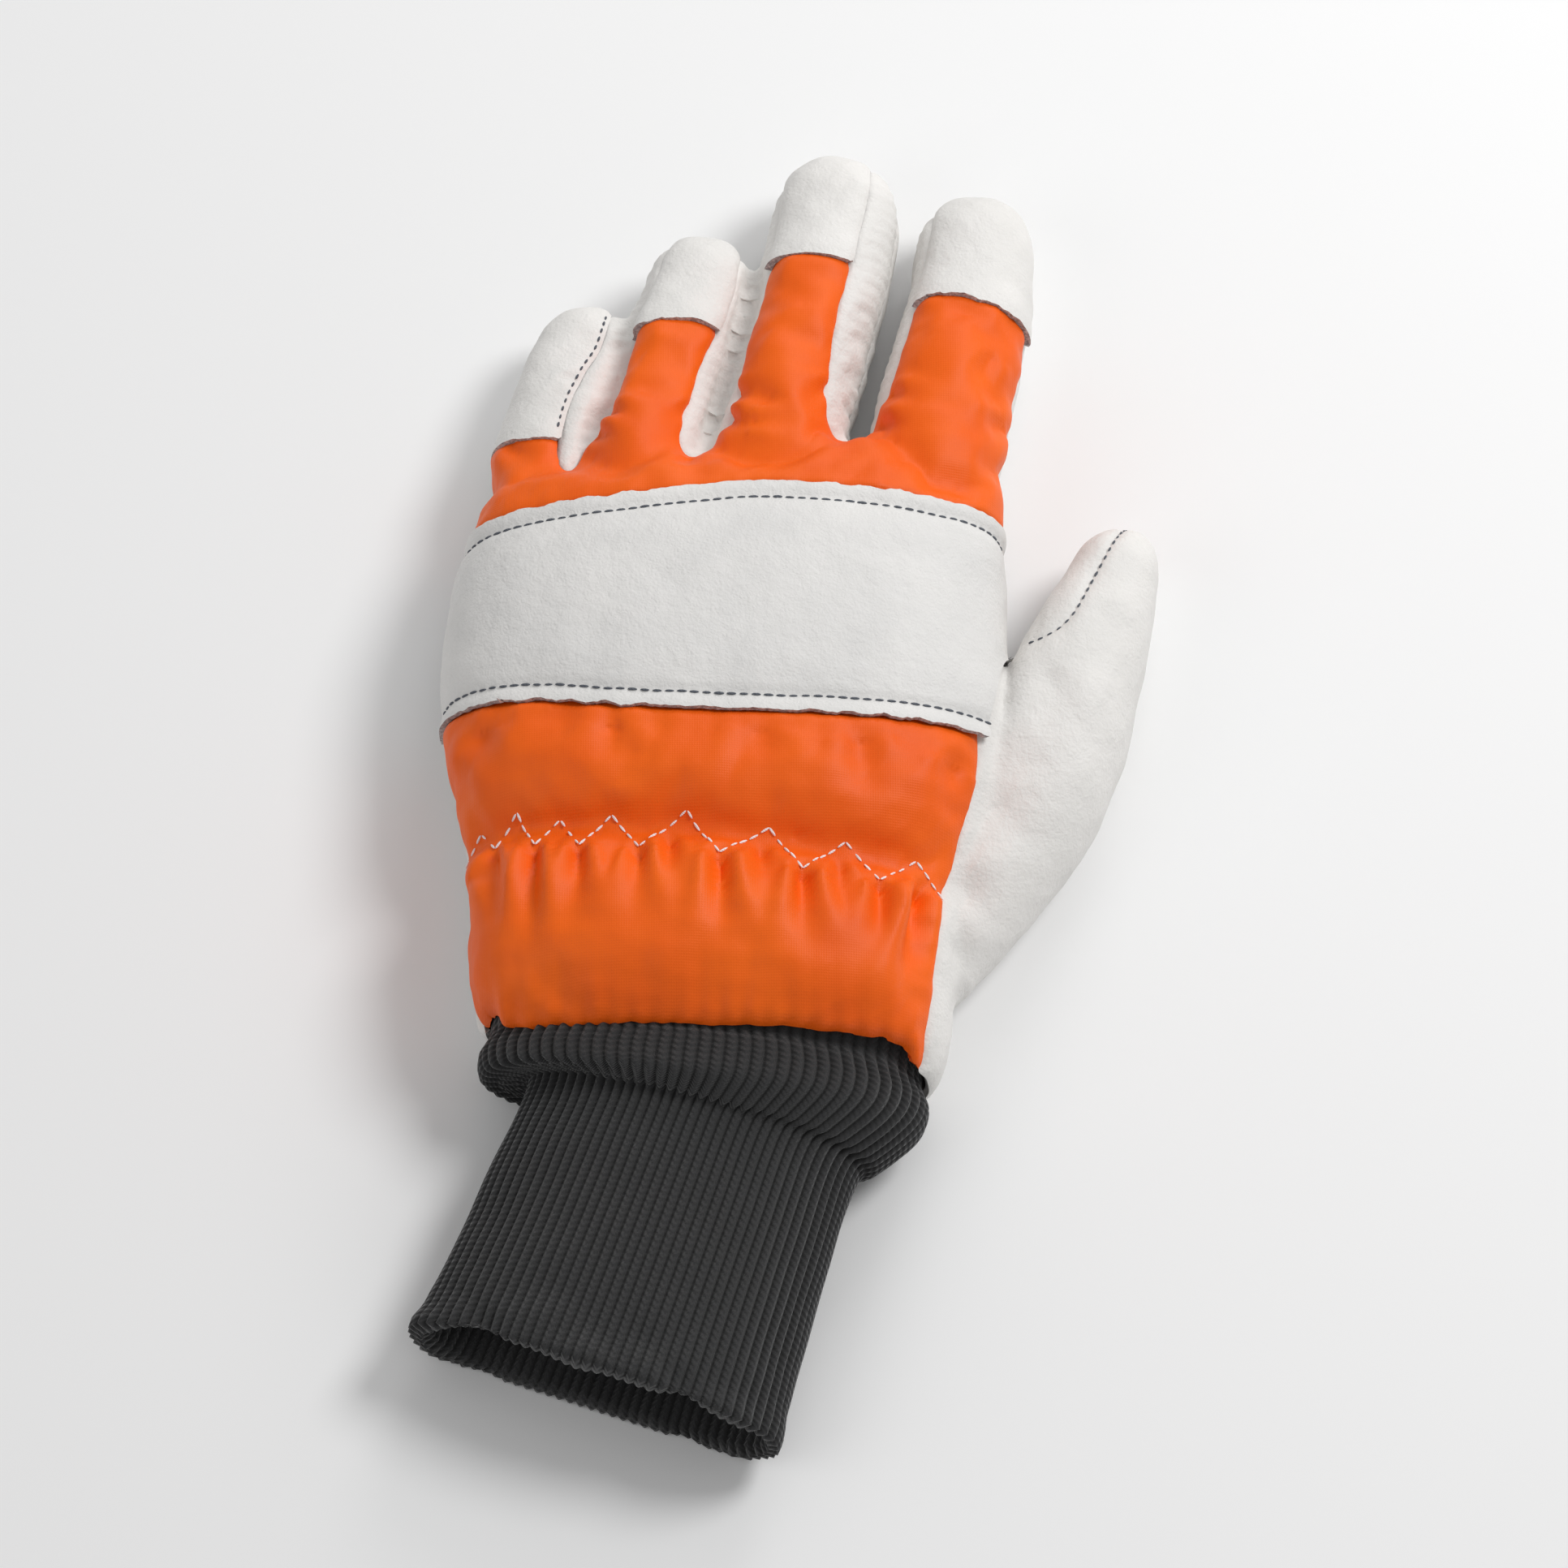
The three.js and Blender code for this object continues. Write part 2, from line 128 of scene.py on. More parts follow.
# Finger sections: place across and along the hand, width, top
FINGERS = {
    "little": (0.4, [
        (-0.322, 0.86, 0.86, 0.93), (-0.315, 0.97, 0.97, 0.88), (-0.298, 1.13, 0.96, 0.82),
        (-0.274, 1.29, 0.9, 0.76), (-0.256, 1.39, 0.82, 0.7),
    ]),
    "ring": (0.48, [
        (-0.172, 0.87, 0.88, 1.07), (-0.16, 1.0, 0.97, 1.05), (-0.125, 1.21, 0.95, 0.98),
        (-0.086, 1.42, 0.93, 0.92), (-0.056, 1.575, 0.88, 0.84),
    ]),
    "middle": (0.52, [
        (0.052, 0.88, 0.93, 1.13), (0.082, 1.02, 1.03, 1.1), (0.112, 1.235, 1.01, 1.05),
        (0.147, 1.44, 1.01, 1.0), (0.179, 1.65, 1.02, 0.94), (0.196, 1.81, 1.0, 0.87),
    ]),
    "index": (0.48, [
        (0.343, 0.88, 1.0, 1.07), (0.366, 1.02, 1.05, 1.04), (0.391, 1.21, 1.04, 0.98),
        (0.42, 1.4, 1.0, 0.94), (0.443, 1.55, 0.96, 0.9), (0.45, 1.7, 0.92, 0.84),
    ]),
}
THUMB = (0.38, [
    (0.26, 0.125, 0.87, 0.74), (0.38, 0.257, 1.0, 0.86), (0.498, 0.419, 1.16, 0.94),
    (0.578, 0.544, 1.04, 1.0), (0.625, 0.654, 0.9, 1.0), (0.668, 0.757, 0.76, 0.93),
    (0.698, 0.831, 0.61, 0.85),
])

# How far each finger's share reaches over its left neighbour's, in millimetres
FINGER_PULL = {"little": 0, "ring": 3, "middle": 6, "index": 6}

# Seams in plan, as places in hand widths and along the hand
LITTLE_RING_SEAM = [
    (-0.2, 1.62), (-0.214, 1.47), (-0.232, 1.36), (-0.258, 1.28), (-0.284, 1.18), (-0.298, 1.08),
    (-0.301, 1.0), (-0.292, 0.975), (-0.277, 0.985), (-0.262, 1.02), (-0.228, 1.11), (-0.202, 1.24),
    (-0.172, 1.41), (-0.14, 1.56), (-0.09, 1.8),
]
RING_MIDDLE_SEAM = [
    (0.03, 1.8), (0.024, 1.58), (0.004, 1.47), (-0.014, 1.39), (-0.045, 1.27), (-0.064, 1.15),
    (-0.081, 1.05), (-0.079, 1.01), (-0.065, 0.99), (-0.048, 1.0), (-0.032, 1.03), (-0.002, 1.12),
    (0.016, 1.25), (0.038, 1.4), (0.062, 1.55), (0.08, 1.7), (0.09, 1.82), (0.11, 2.1),
]
MIDDLE_INDEX_SEAM = [
    (0.27, 2.1), (0.26, 1.83), (0.23, 1.6), (0.205, 1.42), (0.19, 1.25), (0.185, 1.12),
    (0.193, 1.075), (0.213, 1.06), (0.235, 1.07), (0.256, 1.11), (0.3, 1.28), (0.33, 1.46),
    (0.352, 1.62), (0.372, 1.78), (0.4, 2.0),
]
HEMS = {
    "little": [(-0.55, 1.085), (-0.28, 1.06)],
    "ring": [(-0.22, 1.395), (-0.09, 1.42), (0.03, 1.385)],
    "middle": [(0.03, 1.585), (0.12, 1.62), (0.26, 1.585)],
    "index": [(0.3, 1.49), (0.4, 1.5), (0.48, 1.47), (0.6, 1.41)],
}
SIDE_SEAM = [
    (0.502, 0.695), (0.478, 0.64), (0.458, 0.54), (0.45, 0.45), (0.428, 0.36), (0.4, 0.28),
    (0.38, 0.2), (0.368, 0.12), (0.35, -0.1),
]
PALM_THUMB_SEAM = [
    (0.502, 0.695), (0.478, 0.64), (0.41, 0.54), (0.34, 0.4), (0.31, 0.25), (0.3, 0.1), (0.3, -0.1),
]
THUMB_GUSSET_SEAM = [
    (0.76, 0.98), (0.708, 0.905), (0.655, 0.81), (0.61, 0.73), (0.565, 0.7), (0.502, 0.7),
]
STRAP_UPPER = [
    (-0.7, 0.86), (-0.4, 0.872), (-0.2, 0.88), (0.04, 0.9), (0.2, 0.896), (0.4, 0.888), (0.7, 0.885),
]
STRAP_LOWER = [
    (-0.7, 0.56), (-0.4, 0.54), (-0.2, 0.515), (0, 0.503), (0.2, 0.5), (0.4, 0.5), (0.7, 0.5),
]
PATCH_UPPER = [(-0.7, 0.9), (-0.1, 0.93), (0.53, 0.945)]
PATCH_LOWER = [(-0.7, 0.66), (-0.1, 0.68), (0.53, 0.73)]
ZIGZAG = [
    (-0.478, 0.33), (-0.464, 0.305), (-0.434, 0.35), (-0.408, 0.31), (-0.37, 0.36), (-0.337, 0.3),
    (-0.293, 0.345), (-0.259, 0.29), (-0.202, 0.345), (-0.153, 0.285), (-0.069, 0.345), (-0.012, 0.268),
    (0.076, 0.32), (0.134, 0.245), (0.21, 0.3), (0.27, 0.235), (0.335, 0.285), (0.385, 0.225), (0.4, 0.235),
]
WRIST_HEM = [
    (-0.6, 0.075), (-0.43, 0.05), (-0.36, 0.015), (-0.1, 0.002), (0.2, -0.012), (0.31, -0.02),
    (0.36, -0.045), (0.6, -0.06),
]
ELASTIC = [(-0.5, 0.33), (-0.3, 0.33), (0, 0.31), (0.2, 0.28), (0.45, 0.24)]

# Lines where neighbouring fingers touch, with the depth between them
FINGER_GAPS = [
    ([(-0.262, 1.03), (-0.237, 1.12), (-0.216, 1.22), (-0.19, 1.38), (-0.16, 1.6), (-0.13, 1.8)], 5.0),
    ([(-0.055, 1.03), (-0.03, 1.12), (-0.01, 1.22), (0.025, 1.43), (0.045, 1.58), (0.055, 1.7)], 3.0),
]

# Creases as plan lines from their sharp end to their soft end, with depth and width
FABRIC_FOLDS = [
    ((-0.01, 1.12), (0.07, 1.0), 0.9, 1.5),
    ((0.0, 1.2), (0.12, 1.08), 0.8, 1.6),
    ((0.04, 1.06), (0.16, 1.04), 0.6, 1.4),
    ((0.19, 1.2), (0.12, 1.1), 0.7, 1.5),
    ((-0.21, 1.12), (-0.13, 1.03), 0.8, 1.5),
    ((-0.24, 1.06), (-0.15, 0.98), 0.7, 1.6),
    ((-0.06, 1.14), (-0.13, 1.06), 0.7, 1.4),
    ((0.29, 1.2), (0.38, 1.08), 0.8, 1.6),
    ((0.27, 1.1), (0.36, 1.02), 0.8, 1.6),
    ((0.48, 1.3), (0.42, 1.12), 0.6, 1.6),
    ((0.5, 1.12), (0.42, 1.03), 0.7, 1.6),
    ((-0.4, 1.05), (-0.32, 0.96), 0.7, 1.6),
    ((-0.43, 0.94), (-0.38, 1.02), 0.6, 1.6),
    ((0.2, 1.04), (0.22, 0.93), 0.9, 2.2),
    ((-0.07, 0.98), (-0.06, 0.91), 0.7, 2.2),
    ((-0.43, 0.5), (-0.44, 0.4), 0.8, 2.2),
    ((-0.2, 0.48), (-0.21, 0.39), 0.7, 3.0),
    ((0.06, 0.47), (0.05, 0.36), 0.8, 3.2),
    ((0.24, 0.46), (0.26, 0.33), 0.8, 3.0),
    ((0.4, 0.44), (0.38, 0.32), 0.8, 2.4),
]
PLEATS = [
    ((-0.464, 0.3), (-0.45, 0.12), 1.5, 1.3),
    ((-0.408, 0.305), (-0.41, 0.14), 1.6, 1.4),
    ((-0.337, 0.295), (-0.35, 0.07), 1.8, 1.5),
    ((-0.259, 0.285), (-0.265, 0.12), 1.6, 1.6),
    ((-0.153, 0.28), (-0.16, 0.12), 1.6, 1.7),
    ((-0.1, 0.3), (-0.095, 0.18), 1.0, 1.5),
    ((-0.012, 0.262), (-0.005, 0.08), 2.0, 1.8),
    ((0.06, 0.28), (0.075, 0.17), 1.1, 1.6),
    ((0.134, 0.24), (0.14, 0.07), 1.9, 1.8),
    ((0.2, 0.26), (0.205, 0.15), 1.0, 1.5),
    ((0.27, 0.23), (0.275, 0.08), 1.7, 1.7),
    ((0.345, 0.24), (0.3, -0.03), 2.6, 1.7),
    ((-0.43, 0.02), (-0.445, 0.12), 1.2, 2.0),
]
LEATHER_FOLDS = [
    ((-0.3, 1.26), (-0.22, 1.22), 0.5, 1.2),
    ((-0.25, 1.16), (-0.2, 1.14), 0.5, 1.2),
    ((0.24, 1.45), (0.29, 1.47), 0.5, 1.1),
    ((0.23, 1.36), (0.27, 1.38), 0.5, 1.1),
    ((0.22, 1.26), (0.26, 1.29), 0.5, 1.1),
    ((0.21, 1.17), (0.25, 1.18), 0.5, 1.1),
    ((0.57, 0.62), (0.63, 0.5), 0.7, 3.0),
    ((0.47, 0.4), (0.6, 0.3), 0.7, 4.0),
    ((0.42, 0.26), (0.52, 0.24), 0.8, 3.2),
    ((0.4, 0.16), (0.47, 0.2), 0.8, 2.6),
    ((0.66, 0.74), (0.72, 0.66), 0.4, 2.4),
    ((0.1, 0.5), (-0.1, 0.2), 1.5, 3.0),
    ((0.22, 0.45), (0.1, 0.1), 1.8, 3.0),
    ((-0.2, 0.4), (-0.3, 0.1), 1.3, 3.0),
    ((-0.38, 0.97), (-0.22, 0.95), 1.3, 1.4),
    ((-0.22, 0.99), (-0.06, 0.96), 1.3, 1.4),
    ((-0.02, 0.99), (0.16, 0.97), 1.3, 1.5),
    ((0.44, 1.0), (0.28, 0.99), 1.3, 1.5),
]


def along(share):
    """Place along the hand: shares up to 1 run to the finger roots, and on to 2 over the fingers."""
    share = np.asarray(share, float)
    return HEM_PLACE + np.minimum(share, 1) * HAND_LENGTH + np.maximum(share - 1, 0) * FINGER_REACH


def plan(line):
    """Plan places in millimetres."""
    line = np.asarray(line, float)
    return np.stack([line[:, 0] * HAND_WIDTH, along(line[:, 1])], 1)


def spline(rows, count):
    """Smooth curve through rows of numbers, sampled evenly by row."""
    rows = np.asarray(rows, float)
    padded = np.vstack([2 * rows[0] - rows[1], rows, 2 * rows[-1] - rows[-2]])
    t = np.linspace(0, len(rows) - 1, count)
    i = np.minimum(t.astype(int), len(rows) - 2)
    t = (t - i)[:, None]
    a, b, c, d = (padded[i + k] for k in range(4))
    return 0.5 * (2 * b + (c - a) * t + (2 * a - 5 * b + 4 * c - d) * t**2 + (3 * b - a - 3 * c + d) * t**3)


def fullness(value, power):
    return np.sign(value) * np.abs(value) ** (2 / power)


def smoothstep(value):
    value = np.clip(value, 0, 1)
    return value * value * (3 - 2 * value)


def ripple(points, scale, seed):
    """Soft uneven waves made of a few fixed sines, from -1 to 1."""
    random = np.random.default_rng(seed)
    total = np.zeros(len(points))
    for _ in range(7):
        heading = random.normal(size=points.shape[1])
        heading *= random.uniform(0.6, 1.5) / scale / np.linalg.norm(heading)
        total += np.sin(points @ heading * 2 * math.pi + random.uniform(0, 6.3))
    return total / 4


# Lofted surfaces


def loft(rings):
    """Closed mesh through rings of points, as points and faces."""
    rings = np.asarray(rings)
    rows, count = rings.shape[:2]
    points = rings.reshape(-1, 3)
    faces = []
    for row in range(rows - 1):
        a = row * count + np.arange(count)
        b = row * count + (np.arange(count) + 1) % count
        faces += np.stack([a, a + count, b + count, b], 1).tolist()
    faces.append(list(range(count)))
    faces.append(list(range((rows - 1) * count, rows * count))[::-1])
    return points, faces


def hand_loft():
    rings = []
    angles = np.linspace(0, 2 * math.pi, 120, endpoint=False)
    for place, left, right, top, slant in spline(HAND_ROWS, 90):
        centre = (left + right) / 2 * HAND_WIDTH
        half = (right - left) / 2 * HAND_WIDTH
        mid = 0.36 * HAND_HEIGHT
        x = centre + fullness(np.cos(angles), 2.5) * half
        rise = fullness(np.sin(angles), 2.5)
        z = mid + rise * np.where(rise > 0, top * HAND_HEIGHT - mid, mid * 1.35)
        rings.append(np.stack([x, along(place) + slant * x, np.maximum(z, 0)], 1))
    return loft(rings)


def digit_loft(tip, rows, width, height):
    rows = spline(rows, 36)
    path = plan(rows[:, :2])
    heading = np.gradient(path, axis=0)
    heading /= np.linalg.norm(heading, axis=1)[:, None]
    angles = np.linspace(0, 2 * math.pi, 48, endpoint=False)
    mid = 0.45 * height
    rings = []

    def add(place, way, half, top, shrink):
        across = fullness(np.cos(angles), 2.3) * half * shrink
        rise = fullness(np.sin(angles), 2.3) * shrink
        z = mid + rise * np.where(rise > 0, top - mid, mid * 1.12)
        rings.append(np.stack([place[0] + across * way[1], place[1] - across * way[0], np.maximum(z, 0)], 1))

    for place, way, row in zip(path, heading, rows):
        add(place, way, row[2] * width / 2, row[3] * height, 1)
    for angle in np.radians([12, 24, 36, 48, 59, 69, 77, 84]):
        reach = path[-1] + heading[-1] * tip * width * math.sin(angle)
        add(reach, heading[-1], rows[-1, 2] * width / 2, rows[-1, 3] * height, math.cos(angle))
    return loft(rings)


def linked(name, data):
    obj = bpy.data.objects.new(name, data)
    bpy.context.scene.collection.objects.link(obj)
    return obj


def smooth(mesh):
    mesh.polygons.foreach_set("use_smooth", [True] * len(mesh.polygons))


def mesh_object(name, points, faces):
    """Plain mesh object with its place in its points."""
    mesh = bpy.data.meshes.new(name)
    mesh.from_pydata((np.asarray(points) * MM).tolist(), [], [list(map(int, f)) for f in faces])
    mesh.validate()
    mesh.update()
    smooth(mesh)
    return linked(name, mesh)


def applied(obj):
    """Swaps the object's mesh for the one its modifiers give."""
    graph = bpy.context.evaluated_depsgraph_get()
    mesh = bpy.data.meshes.new_from_object(obj.evaluated_get(graph), depsgraph=graph)
    obj.modifiers.clear()
    old = obj.data
    obj.data = mesh
    mesh.name = obj.name
    bpy.data.meshes.remove(old)
    return obj


def remove(obj):
    mesh = obj.data
    bpy.data.objects.remove(obj)
    bpy.data.meshes.remove(mesh)


def read_mesh(mesh):
    """Points in millimetres, normals and triangles of a mesh."""
    mesh.calc_loop_triangles()
    points = np.empty(len(mesh.vertices) * 3)
    mesh.vertices.foreach_get("co", points)
    normals = np.empty(len(mesh.vertices) * 3)
    mesh.vertices.foreach_get("normal", normals)
    faces = np.empty(len(mesh.loop_triangles) * 3, int)
    mesh.loop_triangles.foreach_get("vertices", faces)
    return points.reshape(-1, 3) / MM, normals.reshape(-1, 3), faces.reshape(-1, 3)


def soften_mesh(obj, rounds):
    soften = obj.modifiers.new("soften", "SMOOTH")
    soften.factor = 0.5
    soften.iterations = rounds
    applied(obj)


def move_points(obj, points):
    """Gives a mesh new places in millimetres for its points."""
    obj.data.vertices.foreach_set("co", (points * MM).ravel())
    obj.data.update()


def hand_skin(grain, rounds):
    """One smooth skin over hand, fingers and thumb."""
    points, faces = [], []
    parts = [hand_loft(), digit_loft(*THUMB, THUMB_WIDTH, THUMB_HEIGHT)]
    parts += [digit_loft(tip, rows, FINGER_WIDTH, FINGER_HEIGHT) for tip, rows in FINGERS.values()]
    for part_points, part_faces in parts:
        start = sum(map(len, points))
        points.append(part_points)
        faces += [[i + start for i in face] for face in part_faces]
    obj = mesh_object("skin", np.vstack(points), faces)
    remesh = obj.modifiers.new("even", "REMESH")
    remesh.mode = "VOXEL"
    remesh.voxel_size = grain * MM
    soften_mesh(obj, rounds)
    points, normals, _ = read_mesh(obj.data)
    for line, deep in FINGER_GAPS:
        line = curve(line)
        y = points[:, 1]
        fade = smoothstep((y - line[0, 1]) / FINGER_GAP_FADE)
        fade *= smoothstep((line[-1, 1] - y) / FINGER_GAP_FADE)
        depth = deep * fade * np.exp(-((to_line(points[:, :2], line) / FINGER_GAP_WIDTH) ** 2))
        points = points - normals * (depth * np.abs(normals[:, 2]))[:, None]
    move_points(obj, points)
    soften_mesh(obj, 2)
    data = read_mesh(obj.data)
    remove(obj)
    return data


# Plan fields: distances to seams, from which the panels are cut


def to_line(points, line):
    """Distance from each plan point to a line."""
    best = np.full(len(points), np.inf)
    for a, b in zip(line[:-1], line[1:]):
        d = b - a
        t = np.clip((points - a) @ d / (d @ d), 0, 1)
        best = np.minimum(best, np.linalg.norm(points - a - t[:, None] * d, axis=1))
    return best


def within(points, outline):
    """Signed distance to a closed outline, above zero inside."""
    inside = np.zeros(len(points), bool)
    x, y = points.T
    for a, b in zip(outline, np.roll(outline, -1, axis=0)):
        if a[1] == b[1]:
            continue
        crosses = (a[1] > y) != (b[1] > y)
        inside ^= crosses & (x < (b[0] - a[0]) * (y - a[1]) / (b[1] - a[1]) + a[0])
    distance = to_line(points, np.vstack([outline, outline[:1]]))
    return np.where(inside, distance, -distance)


def beyond(points, line):
    """How far each point lies past a line that runs from left to right."""
    line = line[np.argsort(line[:, 0])]
    side = np.sign(points[:, 1] - np.interp(points[:, 0], line[:, 0], line[:, 1]))
    return side * to_line(points, line)


def band(points, edges):
    """How far inside the band between an upper and a lower line each point lies."""
    return np.minimum(-beyond(points, edges[0]), beyond(points, edges[1]))


def curve(line, steps=6):
    return spline(plan(line), (len(line) - 1) * steps + 1)


THUMB_SIDE = plan([(0.35, -0.4), (2, -0.4), (2, 1.2), (0.62, 1.05), (0.54, 0.9)])
GUSSETS = {
    "little_ring": curve(LITTLE_RING_SEAM),
    "ring_middle": curve(RING_MIDDLE_SEAM),
    "middle_index": curve(MIDDLE_INDEX_SEAM),
}
THUMB_TOP = np.vstack([curve(SIDE_SEAM), THUMB_SIDE])
THUMB_FOOT = np.vstack([curve(PALM_THUMB_SEAM), THUMB_SIDE])
THUMB_GUSSET = np.vstack([curve(THUMB_GUSSET_SEAM), plan([(0.54, 0.9), (0.62, 1.05), (0.8, 1.2)])])
HEM_CURVES = {name: curve(line) for name, line in HEMS.items()}
STRAP_EDGES = [curve(STRAP_UPPER), curve(STRAP_LOWER)]
PATCH_EDGES = [curve(PATCH_UPPER), curve(PATCH_LOWER)]
ZIGZAG_LINE = plan(ZIGZAG)
THUMB_CROTCH = plan([(0.502, 0.7)])[0]
WRIST_HEM_CURVE = spline(plan(WRIST_HEM), 60)
ELASTIC_CURVE = spline(plan(ELASTIC), 40)


def finger_of(points):
    """Which finger each plan point is nearest to."""
    distances = []
    for name, (_, rows) in FINGERS.items():
        distances.append(to_line(points, plan(np.asarray(rows)[:, :2])) - FINGER_PULL[name])
    return np.argmin(distances, axis=0)


def fields(points):
    """Every plan distance that the panels use."""
    flat = points[:, :2]
    upper = points[:, 2] - SEAM_HEIGHT
    gussets = {name: within(flat, line) for name, line in GUSSETS.items()}
    nearest = finger_of(flat)
    tips = {}
    for i, name in enumerate(FINGERS):
        tips[name] = np.where(nearest == i, beyond(flat, HEM_CURVES[name]), -30.0)
    thumb = np.where(upper > 0, within(flat, THUMB_TOP), within(flat, THUMB_FOOT))
    wrist = beyond(flat, WRIST_HEM_CURVE)
    return {
        "upper": upper, "gussets": gussets, "tips": tips, "thumb": thumb, "wrist": wrist,
        "thumb_gusset": within(flat, THUMB_GUSSET),
        "strap": band(flat, STRAP_EDGES),
        "patch": band(flat, PATCH_EDGES),
        "zigzag": to_line(flat, ELASTIC_CURVE),
    }


def crease(points, folds):
    """Depth of all creases at each point: sharp at their first end, fading to their second."""
    flat = points[:, :2]
    depth = np.zeros(len(points))
    for start, end, deep, width in folds:
        a, b = plan([start, end])
        d = b - a
        t = (flat - a) @ d / (d @ d)
        off = np.linalg.norm(flat - a - np.clip(t, 0, 1)[:, None] * d, axis=1)
        t = np.clip(t, 0, 1)
        wide = width * (0.8 + 1.1 * t)
        swell = np.exp(-((off / wide) ** 2)) - 0.5 * np.exp(-(((off - 2.2 * wide) / wide) ** 2))
        depth += deep * (1 - smoothstep(t)) * swell * smoothstep(t * 12 + 0.4)
    return depth


def clip(data, faces, field):
    """Keeps the part of a mesh where the field is above zero, with a clean cut edge."""
    inside = (field > 0)[faces]
    count = inside.sum(1)
    split = (count == 1) | (count == 2)
    odd = np.where(count == 1, inside.argmax(1), (~inside).argmax(1))[split]
    turned = np.take_along_axis(faces[split], (odd[:, None] + np.arange(3)) % 3, 1)
    a, b, c = turned.T
    edges = np.sort(np.concatenate([np.stack([a, b], 1), np.stack([a, c], 1)]), axis=1)
    edges, back = np.unique(edges, axis=0, return_inverse=True)
    back = back.ravel()
    low, high = field[edges[:, 0]], field[edges[:, 1]]
    t = (low / (low - high))[:, None]
    made = data[edges[:, 0]] * (1 - t) + data[edges[:, 1]] * t
    ab, ac = back[: len(a)] + len(data), back[len(a):] + len(data)
    one = count[split] == 1
    kept = [
        faces[count == 3],
        np.stack([a, ab, ac], 1)[one],
        np.stack([ab, b, c], 1)[~one],
        np.stack([ab, c, ac], 1)[~one],
    ]
    used, faces = np.unique(np.concatenate(kept), return_inverse=True)
    return np.vstack([data, made])[used], faces.reshape(-1, 3)


def cut_panel(skin, field):
    """Part of the skin inside a field, as points, normals, faces and distance to the edge."""
    points, normals, faces = skin
    data = np.column_stack([points, normals, np.minimum(field, EDGE_REACH)])
    data, faces = clip(data, faces, field)
    normals = data[:, 3:6] / np.linalg.norm(data[:, 3:6], axis=1)[:, None]
    return data[:, :3], normals, faces, data[:, 6]


def tidy_surface(obj, gap=0.12):
    """Merges the slivers along a cut edge and keeps the largest connected piece."""
    work = bmesh.new()
    work.from_mesh(obj.data)
    bmesh.ops.remove_doubles(work, verts=work.verts, dist=gap * MM)
    bmesh.ops.dissolve_degenerate(work, edges=work.edges, dist=0.02 * MM)
    seen, groups = set(), []
    for vert in work.verts:
        if vert in seen:
            continue
        group, stack = [], [vert]
        seen.add(vert)
        while stack:
            here = stack.pop()
            group.append(here)
            for edge in here.link_edges:
                other = edge.other_vert(here)
                if other not in seen:
                    seen.add(other)
                    stack.append(other)
        groups.append(group)
    groups.sort(key=len)
    for group in groups[:-1]:
        bmesh.ops.delete(work, geom=group, context="VERTS")
    work.to_mesh(obj.data)
    work.free()


def thicken(obj, thickness, rim_slot=0):
    solid = obj.modifiers.new("thickness", "SOLIDIFY")
    solid.thickness = thickness * MM
    solid.offset = -1
    solid.material_offset_rim = rim_slot
    applied(obj)
    mesh = obj.data
    smooth(mesh)
    mesh.set_sharp_from_angle(angle=math.radians(55))


def hand_over(obj, node, slot):
    """Gives a finished piece its place in the model."""
    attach(obj, "root")
    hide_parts(node)


# Materials


class Shader:
    """Small helper that adds and links shader nodes."""

    def __init__(self, name, looks):
        self.material = bpy.data.materials.new(name)
        self.material.use_nodes = True
        self.tree = self.material.node_tree
        self.skin = self.tree.nodes["Principled BSDF"]
        for key, value in looks.items():
            self.skin.inputs[key].default_value = value

    def node(self, kind, inputs=(), **settings):
        made = self.tree.nodes.new(kind)
        for key, value in settings.items():
            setattr(made, key, value)
        for key, value in dict(inputs).items():
            if isinstance(value, bpy.types.NodeSocket):
                self.tree.links.new(value, made.inputs[key])
            else:
                made.inputs[key].default_value = value
        return made

    def place(self):
        return self.node("ShaderNodeTexCoord").outputs["Object"]

    def noise(self, vector, scale, detail=3.0, roughness=0.5):
        return self.node("ShaderNodeTexNoise", {
            "Vector": vector, "Scale": scale, "Detail": detail, "Roughness": roughness,
        }).outputs["Fac"]

    def math(self, operation, a, b=0.0):
        return self.node("ShaderNodeMath", {0: a, 1: b}, operation=operation).outputs[0]

    def ramp(self, factor, low, high, colour_low, colour_high):
        made = self.node("ShaderNodeValToRGB", {"Fac": factor})
        for element, place, colour in zip(made.color_ramp.elements, (low, high), (colour_low, colour_high)):
            element.position = place
            element.color = (*colour, 1)
        return made.outputs["Color"]

    def bump(self, height, distance, strength=1.0, under=None):
        inputs = {"Height": height, "Distance": distance, "Strength": strength}
        if under is not None:
            inputs["Normal"] = under
        return self.node("ShaderNodeBump", inputs).outputs["Normal"]

    def finish(self, colour, normal):
        if isinstance(colour, bpy.types.NodeSocket):
            self.tree.links.new(colour, self.skin.inputs["Base Color"])
        else:
            self.skin.inputs["Base Color"].default_value = (*colour, 1)
        if normal is not None:
            self.tree.links.new(normal, self.skin.inputs["Normal"])
        return self.material


def leather_material(name, light, dark, roughness, grain):
    shader = Shader(name, {"Roughness": roughness, "Specular IOR Level": 0.35})
    place = shader.place()
    colour = shader.ramp(shader.noise(place, 55.0, 4.0), 0.3, 0.75, dark, light)
    soft = shader.bump(shader.noise(place, 90.0, 3.0), 0.0009, 0.35)
    wrinkle = shader.bump(shader.noise(place, 380.0, 5.0, 0.62), 0.0005, 0.75, soft)
    cells = shader.node("ShaderNodeTexVoronoi", {"Vector": place, "Scale": grain}, feature="DISTANCE_TO_EDGE")
    pores = shader.bump(cells.outputs["Distance"], 0.00022, 0.45, wrinkle)
    return shader.finish(colour, pores)


